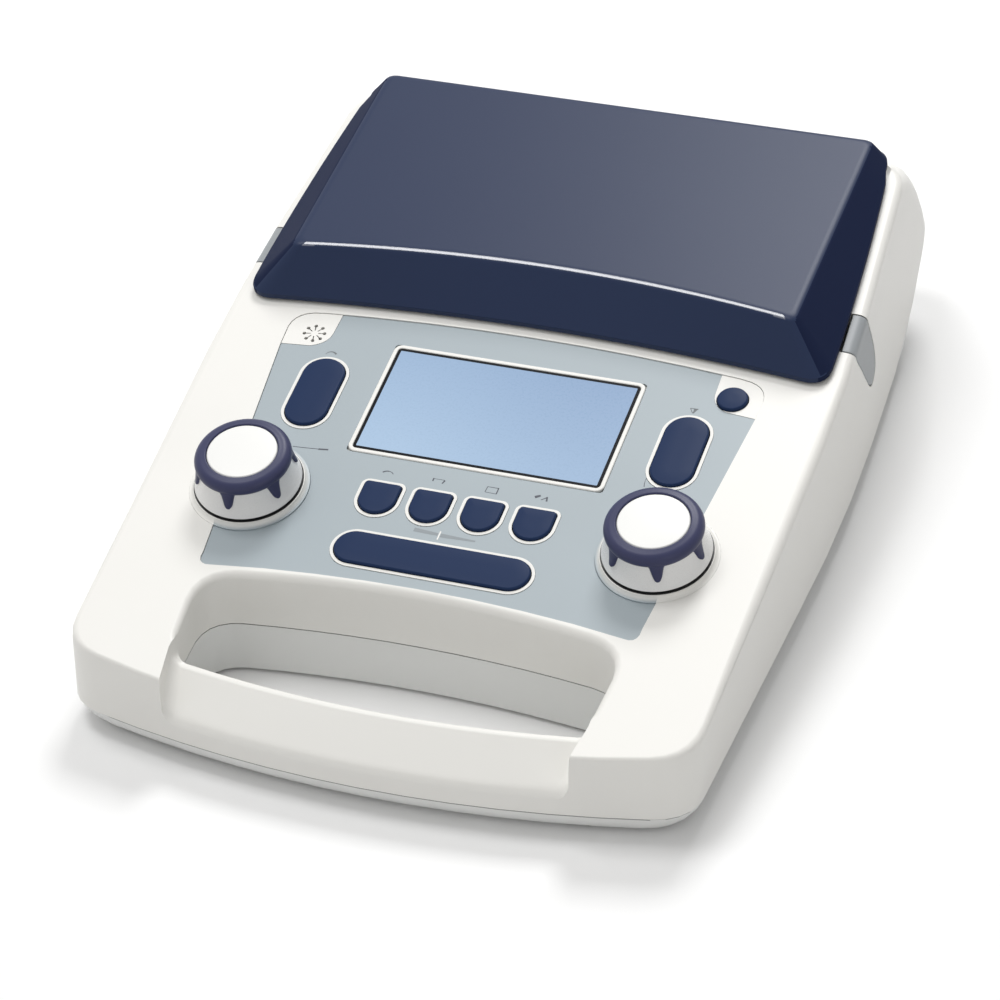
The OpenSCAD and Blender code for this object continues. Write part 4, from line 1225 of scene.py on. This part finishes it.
@dataclass
class Display:
    """The display window with its printed border, and the white frame round it.

    Attributes:
        shop: the workshop.
        width: the window's width.
        height: the window's height.
        middle_v: place of its middle.
        corner_r: radius of its corners.
        foot_w: level of the window's and the frame's lower faces.
        glass: thickness of the window.
        arris: width of the narrow bevel round its upper face.
        border: width of the printed border.
        frame_rim: width of the frame.
        frame_corner_r: radius of the frame's corners.
        frame_edge_r: radius of its upper edges.
        seam: clearance between the frame and the window.
    """

    shop: Workshop
    width: float = 98.0
    height: float = 53.8
    middle_v: float = 9.0
    corner_r: float = 1.5
    foot_w: float = -1.5
    glass: float = 1.2
    arris: float = 0.15
    border: float = 1.05
    frame_rim: float = 1.8
    frame_corner_r: float = 3.3
    frame_edge_r: float = 0.45
    seam: float = 0.05

    def window(self) -> bmesh.types.BMesh:
        """The window; its screen has the second finish.

        Returns:
            The mesh.
        """
        glass = rounded_block(self.width, self.height, self.corner_r, 6,
                              (0, self.middle_v, self.foot_w), self.glass)
        upper = max(glass.faces, key=lambda face: face.calc_center_median().z)
        bmesh.ops.inset_region(glass, faces=[upper], thickness=self.arris, depth=0.05)
        bmesh.ops.inset_region(glass, faces=[upper], thickness=self.border)
        upper.material_index = 1
        return glass

    def rim(self) -> bmesh.types.BMesh:
        """The frame, as a block with its middle cut out.

        Returns:
            The mesh.
        """
        rim = rounded_block(self.width + 2 * self.frame_rim, self.height + 2 * self.frame_rim,
                            self.frame_corner_r, 8, (0, self.middle_v, self.foot_w), -self.foot_w)
        faces = sorted(rim.faces, key=lambda face: face.calc_center_median().z)
        inner = [faces[0], faces[-1]]
        for face in inner:
            bmesh.ops.inset_region(rim, faces=[face], thickness=self.frame_rim - self.seam)
        loops = [edge for face in inner for edge in face.edges]
        bmesh.ops.delete(rim, geom=inner, context="FACES_ONLY")
        bmesh.ops.bridge_loops(rim, edges=loops)
        bmesh.ops.recalc_face_normals(rim, faces=rim.faces)
        top = [edge for edge in rim.edges if all(abs(vert.co.z) < 1e-3 for vert in edge.verts)
               and edge.calc_face_angle(0.0) > 1.0]
        bmesh.ops.bevel(rim, geom=top, offset=self.frame_edge_r, offset_type="OFFSET", segments=3,
                        profile=0.5, affect="EDGES", clamp_overlap=True, material=-1)
        return rim

    def build(self) -> None:
        """Makes the window and its frame."""
        self.shop.place("screen_window", self.window(), [Finish.BORDER, Finish.SCREEN], Body.HOUSING,
                        ["display_window"], "window_black", sharp=10)
        self.shop.place("screen_frame", self.rim(), [Finish.HOUSING], Body.HOUSING, ["display_frame"],
                        "housing_white")


@dataclass(frozen=True)
class Crown:
    """How a key cap is domed.

    Attributes:
        rise: how far its middle rises.
        reach: how far in from its rounded edge the dome spreads.
    """

    rise: float
    reach: float


@dataclass
class Keys:
    """The eight press keys.

    Attributes:
        shop: the workshop.
        foot: height of the caps' feet.
        top: height of the caps where their crowns start.
        edge: radius of the caps' rounded edges.
        oval_r: radius of an oval key's ends.
        oval_reach: distance of their middles from the key's.
        oval_place: the right oval key's middle as (u, v).
        oval_crown: how the oval keys are domed.
        function_pitch: distance between two function keys.
        function_from: how far their row lies to the right of the middle.
        function_half: half width of a function key.
        function_shoulder: height of its straight side, and radius of its upper corners.
        function_v: place of the row.
        function_crown: how the function keys are domed.
        least_r: least radius of those corners.
        bar_r: radius of the bar key's ends.
        bar_reach: distance of their middles from the key's.
        bar_v: place of the bar key.
        bar_crown: how the bar key is domed.
        power_r: radius of the power key.
        power_place: its middle as (u, v).
        power_crown: how the power key is domed.
        power_steps: sides of its outline.
    """

    shop: Workshop
    foot: float = -5.0
    top: float = 0.95
    edge: float = 0.8
    oval_r: float = 8.4
    oval_reach: float = 9.4
    oval_place: Point = (72.9, 6.2)
    oval_crown: Crown = Crown(0.25, 5.5)
    function_pitch: float = 20.3
    function_from: float = 0.3
    function_half: float = 7.3
    function_shoulder: Point = (6.4, 1.6)
    function_v: float = -41.4
    function_crown: Crown = Crown(0.2, 4.0)
    least_r: float = 0.3
    bar_r: float = 7.6
    bar_reach: float = 30.4
    bar_v: float = -66.2
    bar_crown: Crown = Crown(0.25, 5.0)
    power_r: float = 5.9
    power_place: Point = (84.6, 36.6)
    power_crown: Crown = Crown(0.2, 3.6)
    power_steps: int = 48

    def oval(self, grow: float) -> list[Point]:
        """Outline of an upright oval key, grown by a distance."""
        r = self.oval_r + grow
        return arc((0, self.oval_reach), r, 0, 180, 28) + arc((0, -self.oval_reach), r, 180, 360, 28)

    def bar(self, grow: float) -> list[Point]:
        """Outline of the bar key, grown by a distance."""
        r = self.bar_r + grow
        return arc((self.bar_reach, 0), r, -90, 90, 28) + arc((-self.bar_reach, 0), r, 90, 270, 28)

    def function(self, grow: float) -> list[Point]:
        """Outline of a function key, straight above and round below.

        Args:
            grow: distance by which it is grown.

        Returns:
            The outline.
        """
        height, corner = self.function_shoulder
        shift = max(0.0, self.least_r - corner - grow)
        x, y, r = self.function_half - corner - shift, height - shift, max(self.least_r, corner + grow)
        return (arc((x, y), r, 0, 90, 8) + arc((-x, y), r, 90, 180, 8)
                + arc((0, 0), self.function_half + grow, 180, 360, 32))

    def power(self, grow: float) -> list[Point]:
        """Outline of the round power key, grown by a distance."""
        last = 360 - 360 / self.power_steps
        return arc((0, 0), self.power_r + grow, 0, last, self.power_steps - 1)

    def cap(self, name: str, node: str, outline: Callable[[float], Sequence[Point]], place: Point,
            crown: Crown) -> None:
        """Makes one key cap.

        Args:
            name: the piece's name.
            node: the CAD node and body.
            outline: gives its outline grown by a distance.
            place: its middle as (u, v).
            crown: how it is domed.
        """
        mesh = key_cap(outline, self.foot, self.top, self.edge, crown.rise, crown.reach)
        bmesh.ops.translate(mesh, vec=(*place, 0), verts=mesh.verts)
        self.shop.place(name, mesh, [Finish.KEY], node, [node], "navy_plastic")

    def build(self) -> None:
        """Makes all the keys."""
        for side in Side:
            self.cap(f"oval_cap_{side.word}", f"oval_key_{side.word}", self.oval,
                     (side.value * self.oval_place[0], self.oval_place[1]), self.oval_crown)
        for index in range(4):
            u = self.function_from + (index - 1.5) * self.function_pitch
            self.cap(f"function_cap_{index + 1}", f"function_key_{index + 1}", self.function,
                     (u, self.function_v), self.function_crown)
        self.cap("bar_cap", "bar_key", self.bar, (0.0, self.bar_v), self.bar_crown)
        self.cap("power_cap", "power_key", self.power, self.power_place, self.power_crown)


@dataclass
class Knob:
    """One rotary knob on its collar: skirt, claw ring and domed cap.

    Attributes:
        shop: the workshop.
        side: which knob it is.
        u: distance of its axis from the middle line.
        v: place of its axis.
        foot_r: radius of the skirt's foot.
        foot_w: height of the skirt's foot above the deck.
        cap_r: radius of the seat that the cap fills.
        cap_floor: how far that seat lies below the top.
        height: height of the cap's top.
        collar_r: radius of the collar.
        collar_w: lower and upper level of the collar.
        collar_flare: middle height and radius of the hollow flare at its rim.
        bore_r: radius of the opening in the collar.
        draws: how far the skirt draws in, as (height, distance), highest first.
        wall_steps: heights of the rings that shape the skirt's wall.
        hollow: radii and ceiling of the skirt's hollow, and radius and foot of its hub.
        ring_foot: height of the claw ring's foot.
        claws: number of claws.
        turns: angle of the first claw of the left and the right knob, in degrees.
        claw_halves: a claw's half widths, as (height, half width), highest first.
        claw_rise: how far a claw stands out of the skirt.
        claw_sunk: how far the edges of its outer face and its whole inner face lie inside the skirt.
        claw_bow: exponent that crowds a claw's rows towards its tip.
        claw_ends: exponents of its rounding across and along.
    """

    shop: Workshop
    side: Side
    u: float = 80.1
    v: float = -45.2
    foot_r: float = 20.4
    foot_w: float = 2.8
    cap_r: float = 13.4
    cap_floor: float = 3.2
    height: float = 19.0
    collar_r: float = 22.9
    collar_w: Point = (-1.5, 1.95)
    collar_flare: Point = (1.8, 1.7)
    bore_r: float = 9.0
    draws: tuple[Point, ...] = ((20.0, 4.0), (13.2, 3.1), (9.2, 2.3), (5.6, 1.1), (3.4, 0.0), (2.6, 0.0))
    wall_steps: tuple[float, ...] = (3.4, 4.4, 5.6, 7.4, 9.2, 11.2, 13.0)
    hollow: tuple[float, ...] = (15.0, 6.0, 10.8, 3.0, 4.2)
    ring_foot: float = 13.0
    claws: int = 6
    turns: Point = (30.0, 49.0)
    claw_halves: tuple[Point, ...] = (
        (14.6, 4.6), (13.4, 3.4), (12.4, 2.75), (10.2, 2.2), (8.6, 1.8), (7.7, 1.4), (7.1, 0.85), (6.8, 0.0))
    claw_rise: float = 1.15
    claw_sunk: Point = (0.1, 0.5)
    claw_bow: float = 1.5
    claw_ends: tuple[int, int] = (4, 6)

    @property
    def body(self) -> Body:
        """The body that turns."""
        return Body.KNOB_LEFT if self.side is Side.LEFT else Body.KNOB_RIGHT

    @property
    def first_claw(self) -> float:
        """Angle of the first claw in degrees; the right knob rests further turned."""
        return self.turns[0] if self.side is Side.LEFT else self.turns[1]

    @property
    def seat(self) -> Matrix:
        """Matrix from the knob's own millimetres to the frame."""
        return DECK_MM @ Matrix.Translation((self.side.value * self.u, self.v, 0))

    def skirt_radius(self, w: float) -> float:
        """Radius of the skirt at a height above the deck."""
        return self.foot_r - between(self.draws, w)

    def claw(self, turn: float) -> bmesh.types.BMesh:
        """One claw: a tapered, round-tipped strip wrapped down the skirt.

        Args:
            turn: its angle about the knob.

        Returns:
            A closed mesh in the knob's own millimetres.
        """
        mesh = bmesh.new()
        bmesh.ops.create_grid(mesh, x_segments=10, y_segments=28, size=1.0)
        high, low = self.claw_halves[0][0], self.claw_halves[-1][0]
        outer_sunk, inner_sunk = self.claw_sunk
        across, along = self.claw_ends
        for vert in mesh.verts:
            s, t = vert.co.x, (1 - vert.co.y) / 2
            w = high - (high - low) * (1 - (1 - t) ** self.claw_bow)
            half = between(self.claw_halves, w)
            rise = self.claw_rise * (1 - abs(s) ** across) ** 0.5 * math.sqrt(max(0.0, 1 - t ** along))
            radius = self.skirt_radius(w) - outer_sunk + rise
            angle = turn + half * s / radius
            vert.co = (radius * math.cos(angle), radius * math.sin(angle), w)
        made = bmesh.ops.extrude_face_region(mesh, geom=list(mesh.faces), use_keep_orig=True)
        for vert in (part for part in made["geom"] if isinstance(part, bmesh.types.BMVert)):
            flat = Vector((vert.co.x, vert.co.y, 0))
            flat = flat.normalized() * min(self.skirt_radius(vert.co.z) - inner_sunk, flat.length - 0.2)
            vert.co = (flat.x, flat.y, vert.co.z)
        bmesh.ops.remove_doubles(mesh, verts=mesh.verts, dist=1e-3)
        bmesh.ops.recalc_face_normals(mesh, faces=mesh.faces)
        return mesh

    def collar(self) -> bmesh.types.BMesh:
        """The collar, with its flared rim; its top takes the black second finish as painted shade in the gap
        under the skirt.

        Returns:
            The mesh.
        """
        r, bore, (foot, top) = self.collar_r, self.bore_r, self.collar_w
        flare_w, flare_r = self.collar_flare
        mesh = turned([(bore, foot), (r, foot), (r, 0.08), *arc((r, flare_w), flare_r, 265, 180, 8),
                       (20.9, top), (bore, top), (bore, foot)])
        for face in mesh.faces:
            # painted shade: the top, in the gap under the skirt, is black
            face.material_index = int(face.calc_center_median().z > top - 0.05)
        return mesh

    def skirt(self) -> bmesh.types.BMesh:
        """The hollow silver skirt with its hub.

        Returns:
            The mesh.
        """
        r, foot, seat = self.foot_r, self.foot_w, self.height - self.cap_floor
        hollow_r, hub_r, ceiling, bore_r, hub_foot = self.hollow
        wall = [(self.skirt_radius(w), w) for w in self.wall_steps]
        return turned([(r - 1.8, foot), (r - 0.4, foot), *arc((r - 0.4, foot + 0.4), 0.4, -90, 0, 4), *wall,
                       (self.cap_r, self.ring_foot + 0.6), (self.cap_r, seat), (bore_r, seat),
                       (bore_r, hub_foot), (hub_r, hub_foot), (hub_r, ceiling), (hollow_r, ceiling),
                       (r - 1.8, foot)])

    def ring(self) -> bmesh.types.BMesh:
        """The navy ring with its claws.

        Returns:
            The mesh.
        """
        r, inner, foot, top = self.foot_r, self.cap_r + 0.05, self.ring_foot, self.height
        mesh = turned([(inner, foot), (r - 2.9, foot), *arc((r - 5.2, foot + 2.2), 3.25, -25, 88, 12),
                       (self.cap_r + 0.9, top - 0.45), *arc((self.cap_r + 0.75, top - 0.9), 0.6, 100, 175, 4),
                       (inner, foot)])
        for index in range(self.claws):
            piece = self.claw(math.radians(self.first_claw + index * 360 / self.claws))
            spare = bpy.data.meshes.new("claw")
            piece.to_mesh(spare)
            piece.free()
            mesh.from_mesh(spare)
            bpy.data.meshes.remove(spare)
        return mesh

    def dome(self) -> bmesh.types.BMesh:
        """The white cap, faintly domed.

        Returns:
            The mesh.
        """
        r, top = self.cap_r, self.height
        return turned([(0.0, top - self.cap_floor), (r, top - self.cap_floor), (r, top - 1.3),
                       *arc((r - 0.8, top - 1.3), 0.8, 0, 80, 4), (9.0, top - 0.22), (4.5, top - 0.06),
                       (0.0, top)])

    def build(self) -> None:
        """Makes the collar, skirt, claw ring and cap."""
        side = self.side.word
        self.shop.place(f"knob_seat_{side}", self.collar(), [Finish.COLLAR, Finish.SOCKET], Body.HOUSING,
                        [f"knob_collar_{side}"], "housing_white", at=self.seat)
        self.shop.place(f"knob_cone_{side}", self.skirt(), [Finish.SKIRT], self.body,
                        [f"knob_skirt_{side}"], "knob_silver", at=self.seat)
        self.shop.place(f"knob_claws_{side}", self.ring(), [Finish.RING], self.body,
                        [f"knob_ring_{side}"], "navy_plastic", at=self.seat, sharp=60)
        self.shop.place(f"knob_cap_{side}", self.dome(), [Finish.CAP], self.body,
                        [f"knob_disc_{side}"], "housing_white", at=self.seat)


@dataclass(frozen=True)
class Stroke:
    """One printed line of changing width.

    Attributes:
        path: (u, v) points along its middle.
        first: its width at the start.
        last: its width at the end.
    """

    path: Sequence[Point]
    first: float
    last: float

    def draw(self, mesh: bmesh.types.BMesh, level: float) -> None:
        """Draws the line.

        Args:
            mesh: the mesh that takes it.
            level: its height.
        """
        count = len(self.path) - 1
        made = bmesh.ops.create_grid(mesh, x_segments=count, y_segments=1, size=0.5)
        for vert in made["verts"]:
            step = round((vert.co.x + 0.5) * count)
            ahead = Vector(self.path[min(step + 1, count)]) - Vector(self.path[max(step - 1, 0)])
            aside = Vector((-ahead.y, ahead.x)).normalized() * (1 if vert.co.y > 0 else -1)
            width = self.first + (self.last - self.first) * step / count
            place = Vector(self.path[step]) + aside * width / 2
            vert.co = (place.x, place.y, level)


@dataclass
class PanelMarks:
    """The small marks printed on the control panel, and two grey bars painted as the shade of shallow
    grooves.

    Attributes:
        shop: the workshop.
        level: height of the print.
        above_ovals: a bow over the left oval key and a small arrow over the right one.
        above_keys: signs over the four function keys.
        leaders: lines beside the left knob and over the right one.
        scale_bars: two tapered grey bars over the bar key, painted shade of two shallow grooves.
        notch: the pale line that parts them.
    """

    shop: Workshop
    level: float = -0.47
    above_ovals: tuple[Stroke, ...] = (
        Stroke(arc((-74.1, 26.3), 2.3, 165, 35, 8), 0.2, 0.75),
        Stroke(((70.2, 29.3), (73.3, 29.3)), 0.3, 0.5),
        Stroke(((70.2, 29.3), (71.7, 26.9)), 0.3, 0.3),
        Stroke(((72.4, 29.3), (71.9, 26.9)), 1.5, 0.4))
    above_keys: tuple[Stroke, ...] = (
        Stroke(arc((-31.0, -29.3), 2.7, 140, 85, 6), 0.6, 0.45),
        Stroke(arc((-31.0, -29.3), 2.7, 85, 35, 6), 0.25, 0.3),
        Stroke(((-13.1, -26.2), (-13.1, -27.7)), 0.55, 0.55),
        Stroke(((-13.1, -26.4), (-8.8, -26.4)), 0.2, 0.25),
        Stroke(((-8.6, -26.5), (-9.2, -28.2)), 0.7, 0.5),
        Stroke(((8.0, -25.9), (12.5, -25.9)), 0.25, 0.3),
        Stroke(((12.4, -25.8), (12.4, -28.9)), 0.45, 0.45),
        Stroke(((8.1, -25.9), (7.9, -28.6)), 0.3, 0.3),
        Stroke(((7.9, -28.7), (12.4, -28.8)), 0.2, 0.25),
        Stroke(((27.0, -27.1), (28.9, -25.9)), 1.3, 0.9),
        Stroke(((29.6, -28.0), (31.7, -26.2)), 0.3, 0.5),
        Stroke(((31.5, -26.0), (31.9, -28.3)), 0.5, 0.7))
    leaders: tuple[Stroke, ...] = (
        Stroke(((-71.4, -22.4), (-66, -22.0), (-61.2, -21.6)), 0.28, 0.32),
        Stroke(((-61.2, -21.6), (-57.4, -21.1)), 0.8, 0.7),
        Stroke(arc((75.5, -10.2), 10.9, 170, 196, 8), 0.12, 0.3))
    # painted shade: tapered grey bars that stand for two shallow grooves
    scale_bars: tuple[Stroke, ...] = (
        Stroke(((-11.8, -52.4), (-2.2, -52.9)), 1.9, 1.3),
        Stroke(((-1.2, -53.1), (12.4, -53.1)), 1.9, 0.7))
    notch: tuple[Stroke, ...] = (Stroke(((-1.7, -51.2), (-1.7, -55.4)), 0.55, 0.55),)

    def build(self) -> None:
        """Makes all the marks, one piece for each group."""
        for name, finish, strokes in (
                ("marks_above_ovals", Finish.PRINT_GREY, self.above_ovals),
                ("marks_above_keys", Finish.PRINT, self.above_keys),
                ("leader_line", Finish.PRINT, self.leaders),
                ("scale_bars", Finish.PRINT_SOFT, self.scale_bars),
                ("scale_notch", Finish.HOUSING, self.notch)):
            mesh = bmesh.new()
            for stroke in strokes:
                stroke.draw(mesh, self.level)
            self.shop.place(name, mesh, [finish], Body.HOUSING)


@dataclass
class CarriedNodes:
    """The CAD solids that stay as they are and only take a finish."""

    shop: Workshop
    finishes: dict[str, Finish] = field(default_factory=lambda: {
        "housing_white": Finish.HOUSING, "panel_grey": Finish.OVERLAY, "navy_plastic": Finish.KEY,
        "latch_grey": Finish.LATCH, "knob_silver": Finish.SKIRT, "window_black": Finish.BORDER,
        "screen_blue": Finish.BOARD, "board_green": Finish.BOARD, "socket_black": Finish.SOCKET,
        "foot_rubber": Finish.RUBBER, "pin_steel": Finish.STEEL})

    def build(self) -> None:
        """Gives every CAD node its finish."""
        slots = {part["node"]: part["material_slot"] for part in self.shop.frame["record"]["subparts"]}
        for name, node in self.shop.frame["nodes"].items():
            finish = Finish.LINER if name == "headset_tray" else self.finishes[slots[name]]
            node.data.materials.clear()
            node.data.materials.append(self.shop.palette[finish])
            LOG.info("dressed %s in %s", name, finish.name)


# ---------------------------------------------------------------- studio


def seen_directly(tree: NodeTree) -> NodeSocket:
    """Whether a ray comes from the camera, off gloss or through glass.

    Args:
        tree: the node tree that asks.

    Returns:
        A socket that is 1 for such rays and 0 for the light that fills the shade.
    """
    path = add_node(tree, "ShaderNodeLightPath")
    first = add_node(tree, "ShaderNodeMath", operation="MAXIMUM")
    second = add_node(tree, "ShaderNodeMath", operation="MAXIMUM")
    tree.links.new(path.outputs["Is Camera Ray"], first.inputs[0])
    tree.links.new(path.outputs["Is Glossy Ray"], first.inputs[1])
    tree.links.new(first.outputs[0], second.inputs[0])
    tree.links.new(path.outputs["Is Transmission Ray"], second.inputs[1])
    return second.outputs[0]


@dataclass(frozen=True)
class Lamp:
    """A square soft box aimed at the console.

    Attributes:
        name: its name.
        place: where it hangs, in metres.
        size: its side, in metres.
        power: its power in watts.
        aim: what it points at, in metres.
    """

    name: str
    place: tuple[float, float, float]
    size: float
    power: float
    aim: tuple[float, float, float] = (0.0, 0.0, 0.05)

    def hang(self) -> None:
        """Adds the lamp to the scene."""
        data = bpy.data.lights.new(self.name, "AREA")
        data.shape = "SQUARE"
        data.size = self.size
        data.energy = self.power
        lamp = bpy.data.objects.new(self.name, data)
        turn = (Vector(self.aim) - Vector(self.place)).to_track_quat("-Z", "Y")
        lamp.matrix_world = Matrix.Translation(self.place) @ turn.to_matrix().to_4x4()
        bpy.context.scene.collection.objects.link(lamp)


@dataclass
class Studio:
    """Floor, world, lamps and camera, in metres.

    Attributes:
        eye: the camera's place.
        right: the picture's right.
        up: the picture's up.
        ahead: the way the camera looks.
        lens: its focal length in millimetres.
        sensor: its sensor's width in millimetres.
        bright_side: where the soft light comes from.
        sky: the soft light's strength away from that side and on it.
        sky_tint: the soft light's colour.
        table_half: half the table's side.
        table_tones: the two tones of the table's faint cloudiness, as the camera sees them.
        table_bounce: the table's colour for the light that it throws back.
        lamps: the lamps.
    """

    eye: tuple[float, float, float] = (0.43805, -1.1489, 0.9065)
    right: tuple[float, float, float] = (0.9418, 0.3326, -0.0482)
    up: tuple[float, float, float] = (-0.1610, 0.5724, 0.8040)
    ahead: tuple[float, float, float] = (-0.2950, 0.7495, -0.5927)
    lens: float = 139.74
    sensor: float = 36.0
    bright_side: tuple[float, float, float] = (-0.55, -0.45, 0.70)
    sky: Point = (0.08, 0.60)
    sky_tint: Colour = (1.0, 0.995, 0.985)
    table_half: float = 6.0
    table_tones: tuple[Colour, Colour] = ((0.93, 0.93, 0.93), (0.95, 0.95, 0.95))
    table_bounce: Colour = (0.80, 0.80, 0.80)
    lamps: tuple[Lamp, ...] = (
        Lamp("top_lamp", (-0.65, 0.1, 2.1), 0.8, 15.0),
        Lamp("rear_lamp", (-0.1, 1.5, 1.9), 0.8, 29.0),
        Lamp("corner_lamp", (0.55, -0.6, 0.30), 0.3, 0.35))

    def build(self) -> None:
        """Makes the whole studio."""
        self._camera()
        self._world()
        self._floor()
        for lamp in self.lamps:
            lamp.hang()
        bpy.context.scene.view_settings.view_transform = "Standard"

    def _camera(self) -> None:
        """Puts the camera where the photograph was taken."""
        data = bpy.data.cameras.new("photo_camera")
        data.lens = self.lens
        data.sensor_width = self.sensor
        camera = bpy.data.objects.new("photo_camera", data)
        right, up, back = Vector(self.right), Vector(self.up), -Vector(self.ahead)
        turn = Matrix((right, up, back)).transposed().to_4x4()
        camera.matrix_world = Matrix.Translation(self.eye) @ turn
        bpy.context.scene.collection.objects.link(camera)
        bpy.context.scene.camera = camera

    def _world(self) -> None:
        """Soft light, brighter from one side; white where the camera, gloss or glass looks at it."""
        world = bpy.data.worlds.new("studio")
        world.use_nodes = True
        tree = world.node_tree
        tree.nodes.clear()
        soft = add_node(tree, "ShaderNodeBackground")
        soft.inputs["Color"].default_value = (*self.sky_tint, 1.0)
        coords = add_node(tree, "ShaderNodeTexCoord")
        towards = add_node(tree, "ShaderNodeVectorMath", operation="DOT_PRODUCT")
        towards.inputs[1].default_value = self.bright_side
        level = add_node(tree, "ShaderNodeMapRange")
        level.inputs["From Min"].default_value = -1.0
        level.inputs["To Min"].default_value = self.sky[0]
        level.inputs["To Max"].default_value = self.sky[1]
        tree.links.new(coords.outputs["Generated"], towards.inputs[0])
        tree.links.new(towards.outputs["Value"], level.inputs["Value"])
        tree.links.new(level.outputs["Result"], soft.inputs["Strength"])
        seen = add_node(tree, "ShaderNodeBackground")
        seen.inputs["Color"].default_value = (1.0, 1.0, 1.0, 1.0)
        seen.inputs["Strength"].default_value = 1.0
        mix = add_node(tree, "ShaderNodeMixShader")
        out = add_node(tree, "ShaderNodeOutputWorld")
        tree.links.new(seen_directly(tree), mix.inputs["Fac"])
        tree.links.new(soft.outputs[0], mix.inputs[1])
        tree.links.new(seen.outputs[0], mix.inputs[2])
        tree.links.new(mix.outputs[0], out.inputs["Surface"])
        bpy.context.scene.world = world

    def _floor(self) -> None:
        """A broad pale table."""
        mesh = bmesh.new()
        bmesh.ops.create_grid(mesh, x_segments=1, y_segments=1, size=self.table_half)
        data = bpy.data.meshes.new("table")
        mesh.to_mesh(data)
        mesh.free()
        table = bpy.data.objects.new("table", data)
        bpy.context.scene.collection.objects.link(table)
        material, tree, shader = new_material("table_white")
        shader.inputs["Roughness"].default_value = 0.6
        shader.inputs["Specular IOR Level"].default_value = 0.2
        coords = add_node(tree, "ShaderNodeTexCoord")
        cloud = add_node(tree, "ShaderNodeTexNoise", Scale=3.0)
        shown = add_node(tree, "ShaderNodeMix", data_type="RGBA")
        shown.inputs["A"].default_value = (*self.table_bounce, 1.0)
        tree.links.new(coords.outputs["Object"], cloud.inputs["Vector"])
        tree.links.new(mixed(tree, cloud.outputs["Fac"], *self.table_tones), shown.inputs["B"])
        tree.links.new(seen_directly(tree), shown.inputs["Factor"])
        tree.links.new(shown.outputs["Result"], shader.inputs["Base Color"])
        data.materials.append(material)


def main() -> None:
    """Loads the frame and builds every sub-assembly."""
    logging.basicConfig(level=logging.INFO, format="%(name)s: %(message)s")
    for leftover in list(bpy.data.objects):
        bpy.data.objects.remove(leftover)
    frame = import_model()
    shop = Workshop(frame, Palette())
    Studio().build()
    CarriedNodes(shop).build()
    for part in (Housing(shop), Lid(shop), Latches(shop), Display(shop), Keys(shop),
                 Knob(shop, Side.LEFT), Knob(shop, Side.RIGHT), PanelMarks(shop)):
        part.build()
    LOG.info("%d pieces made", len(shop.made))


if __name__ == "__main__":
    main()
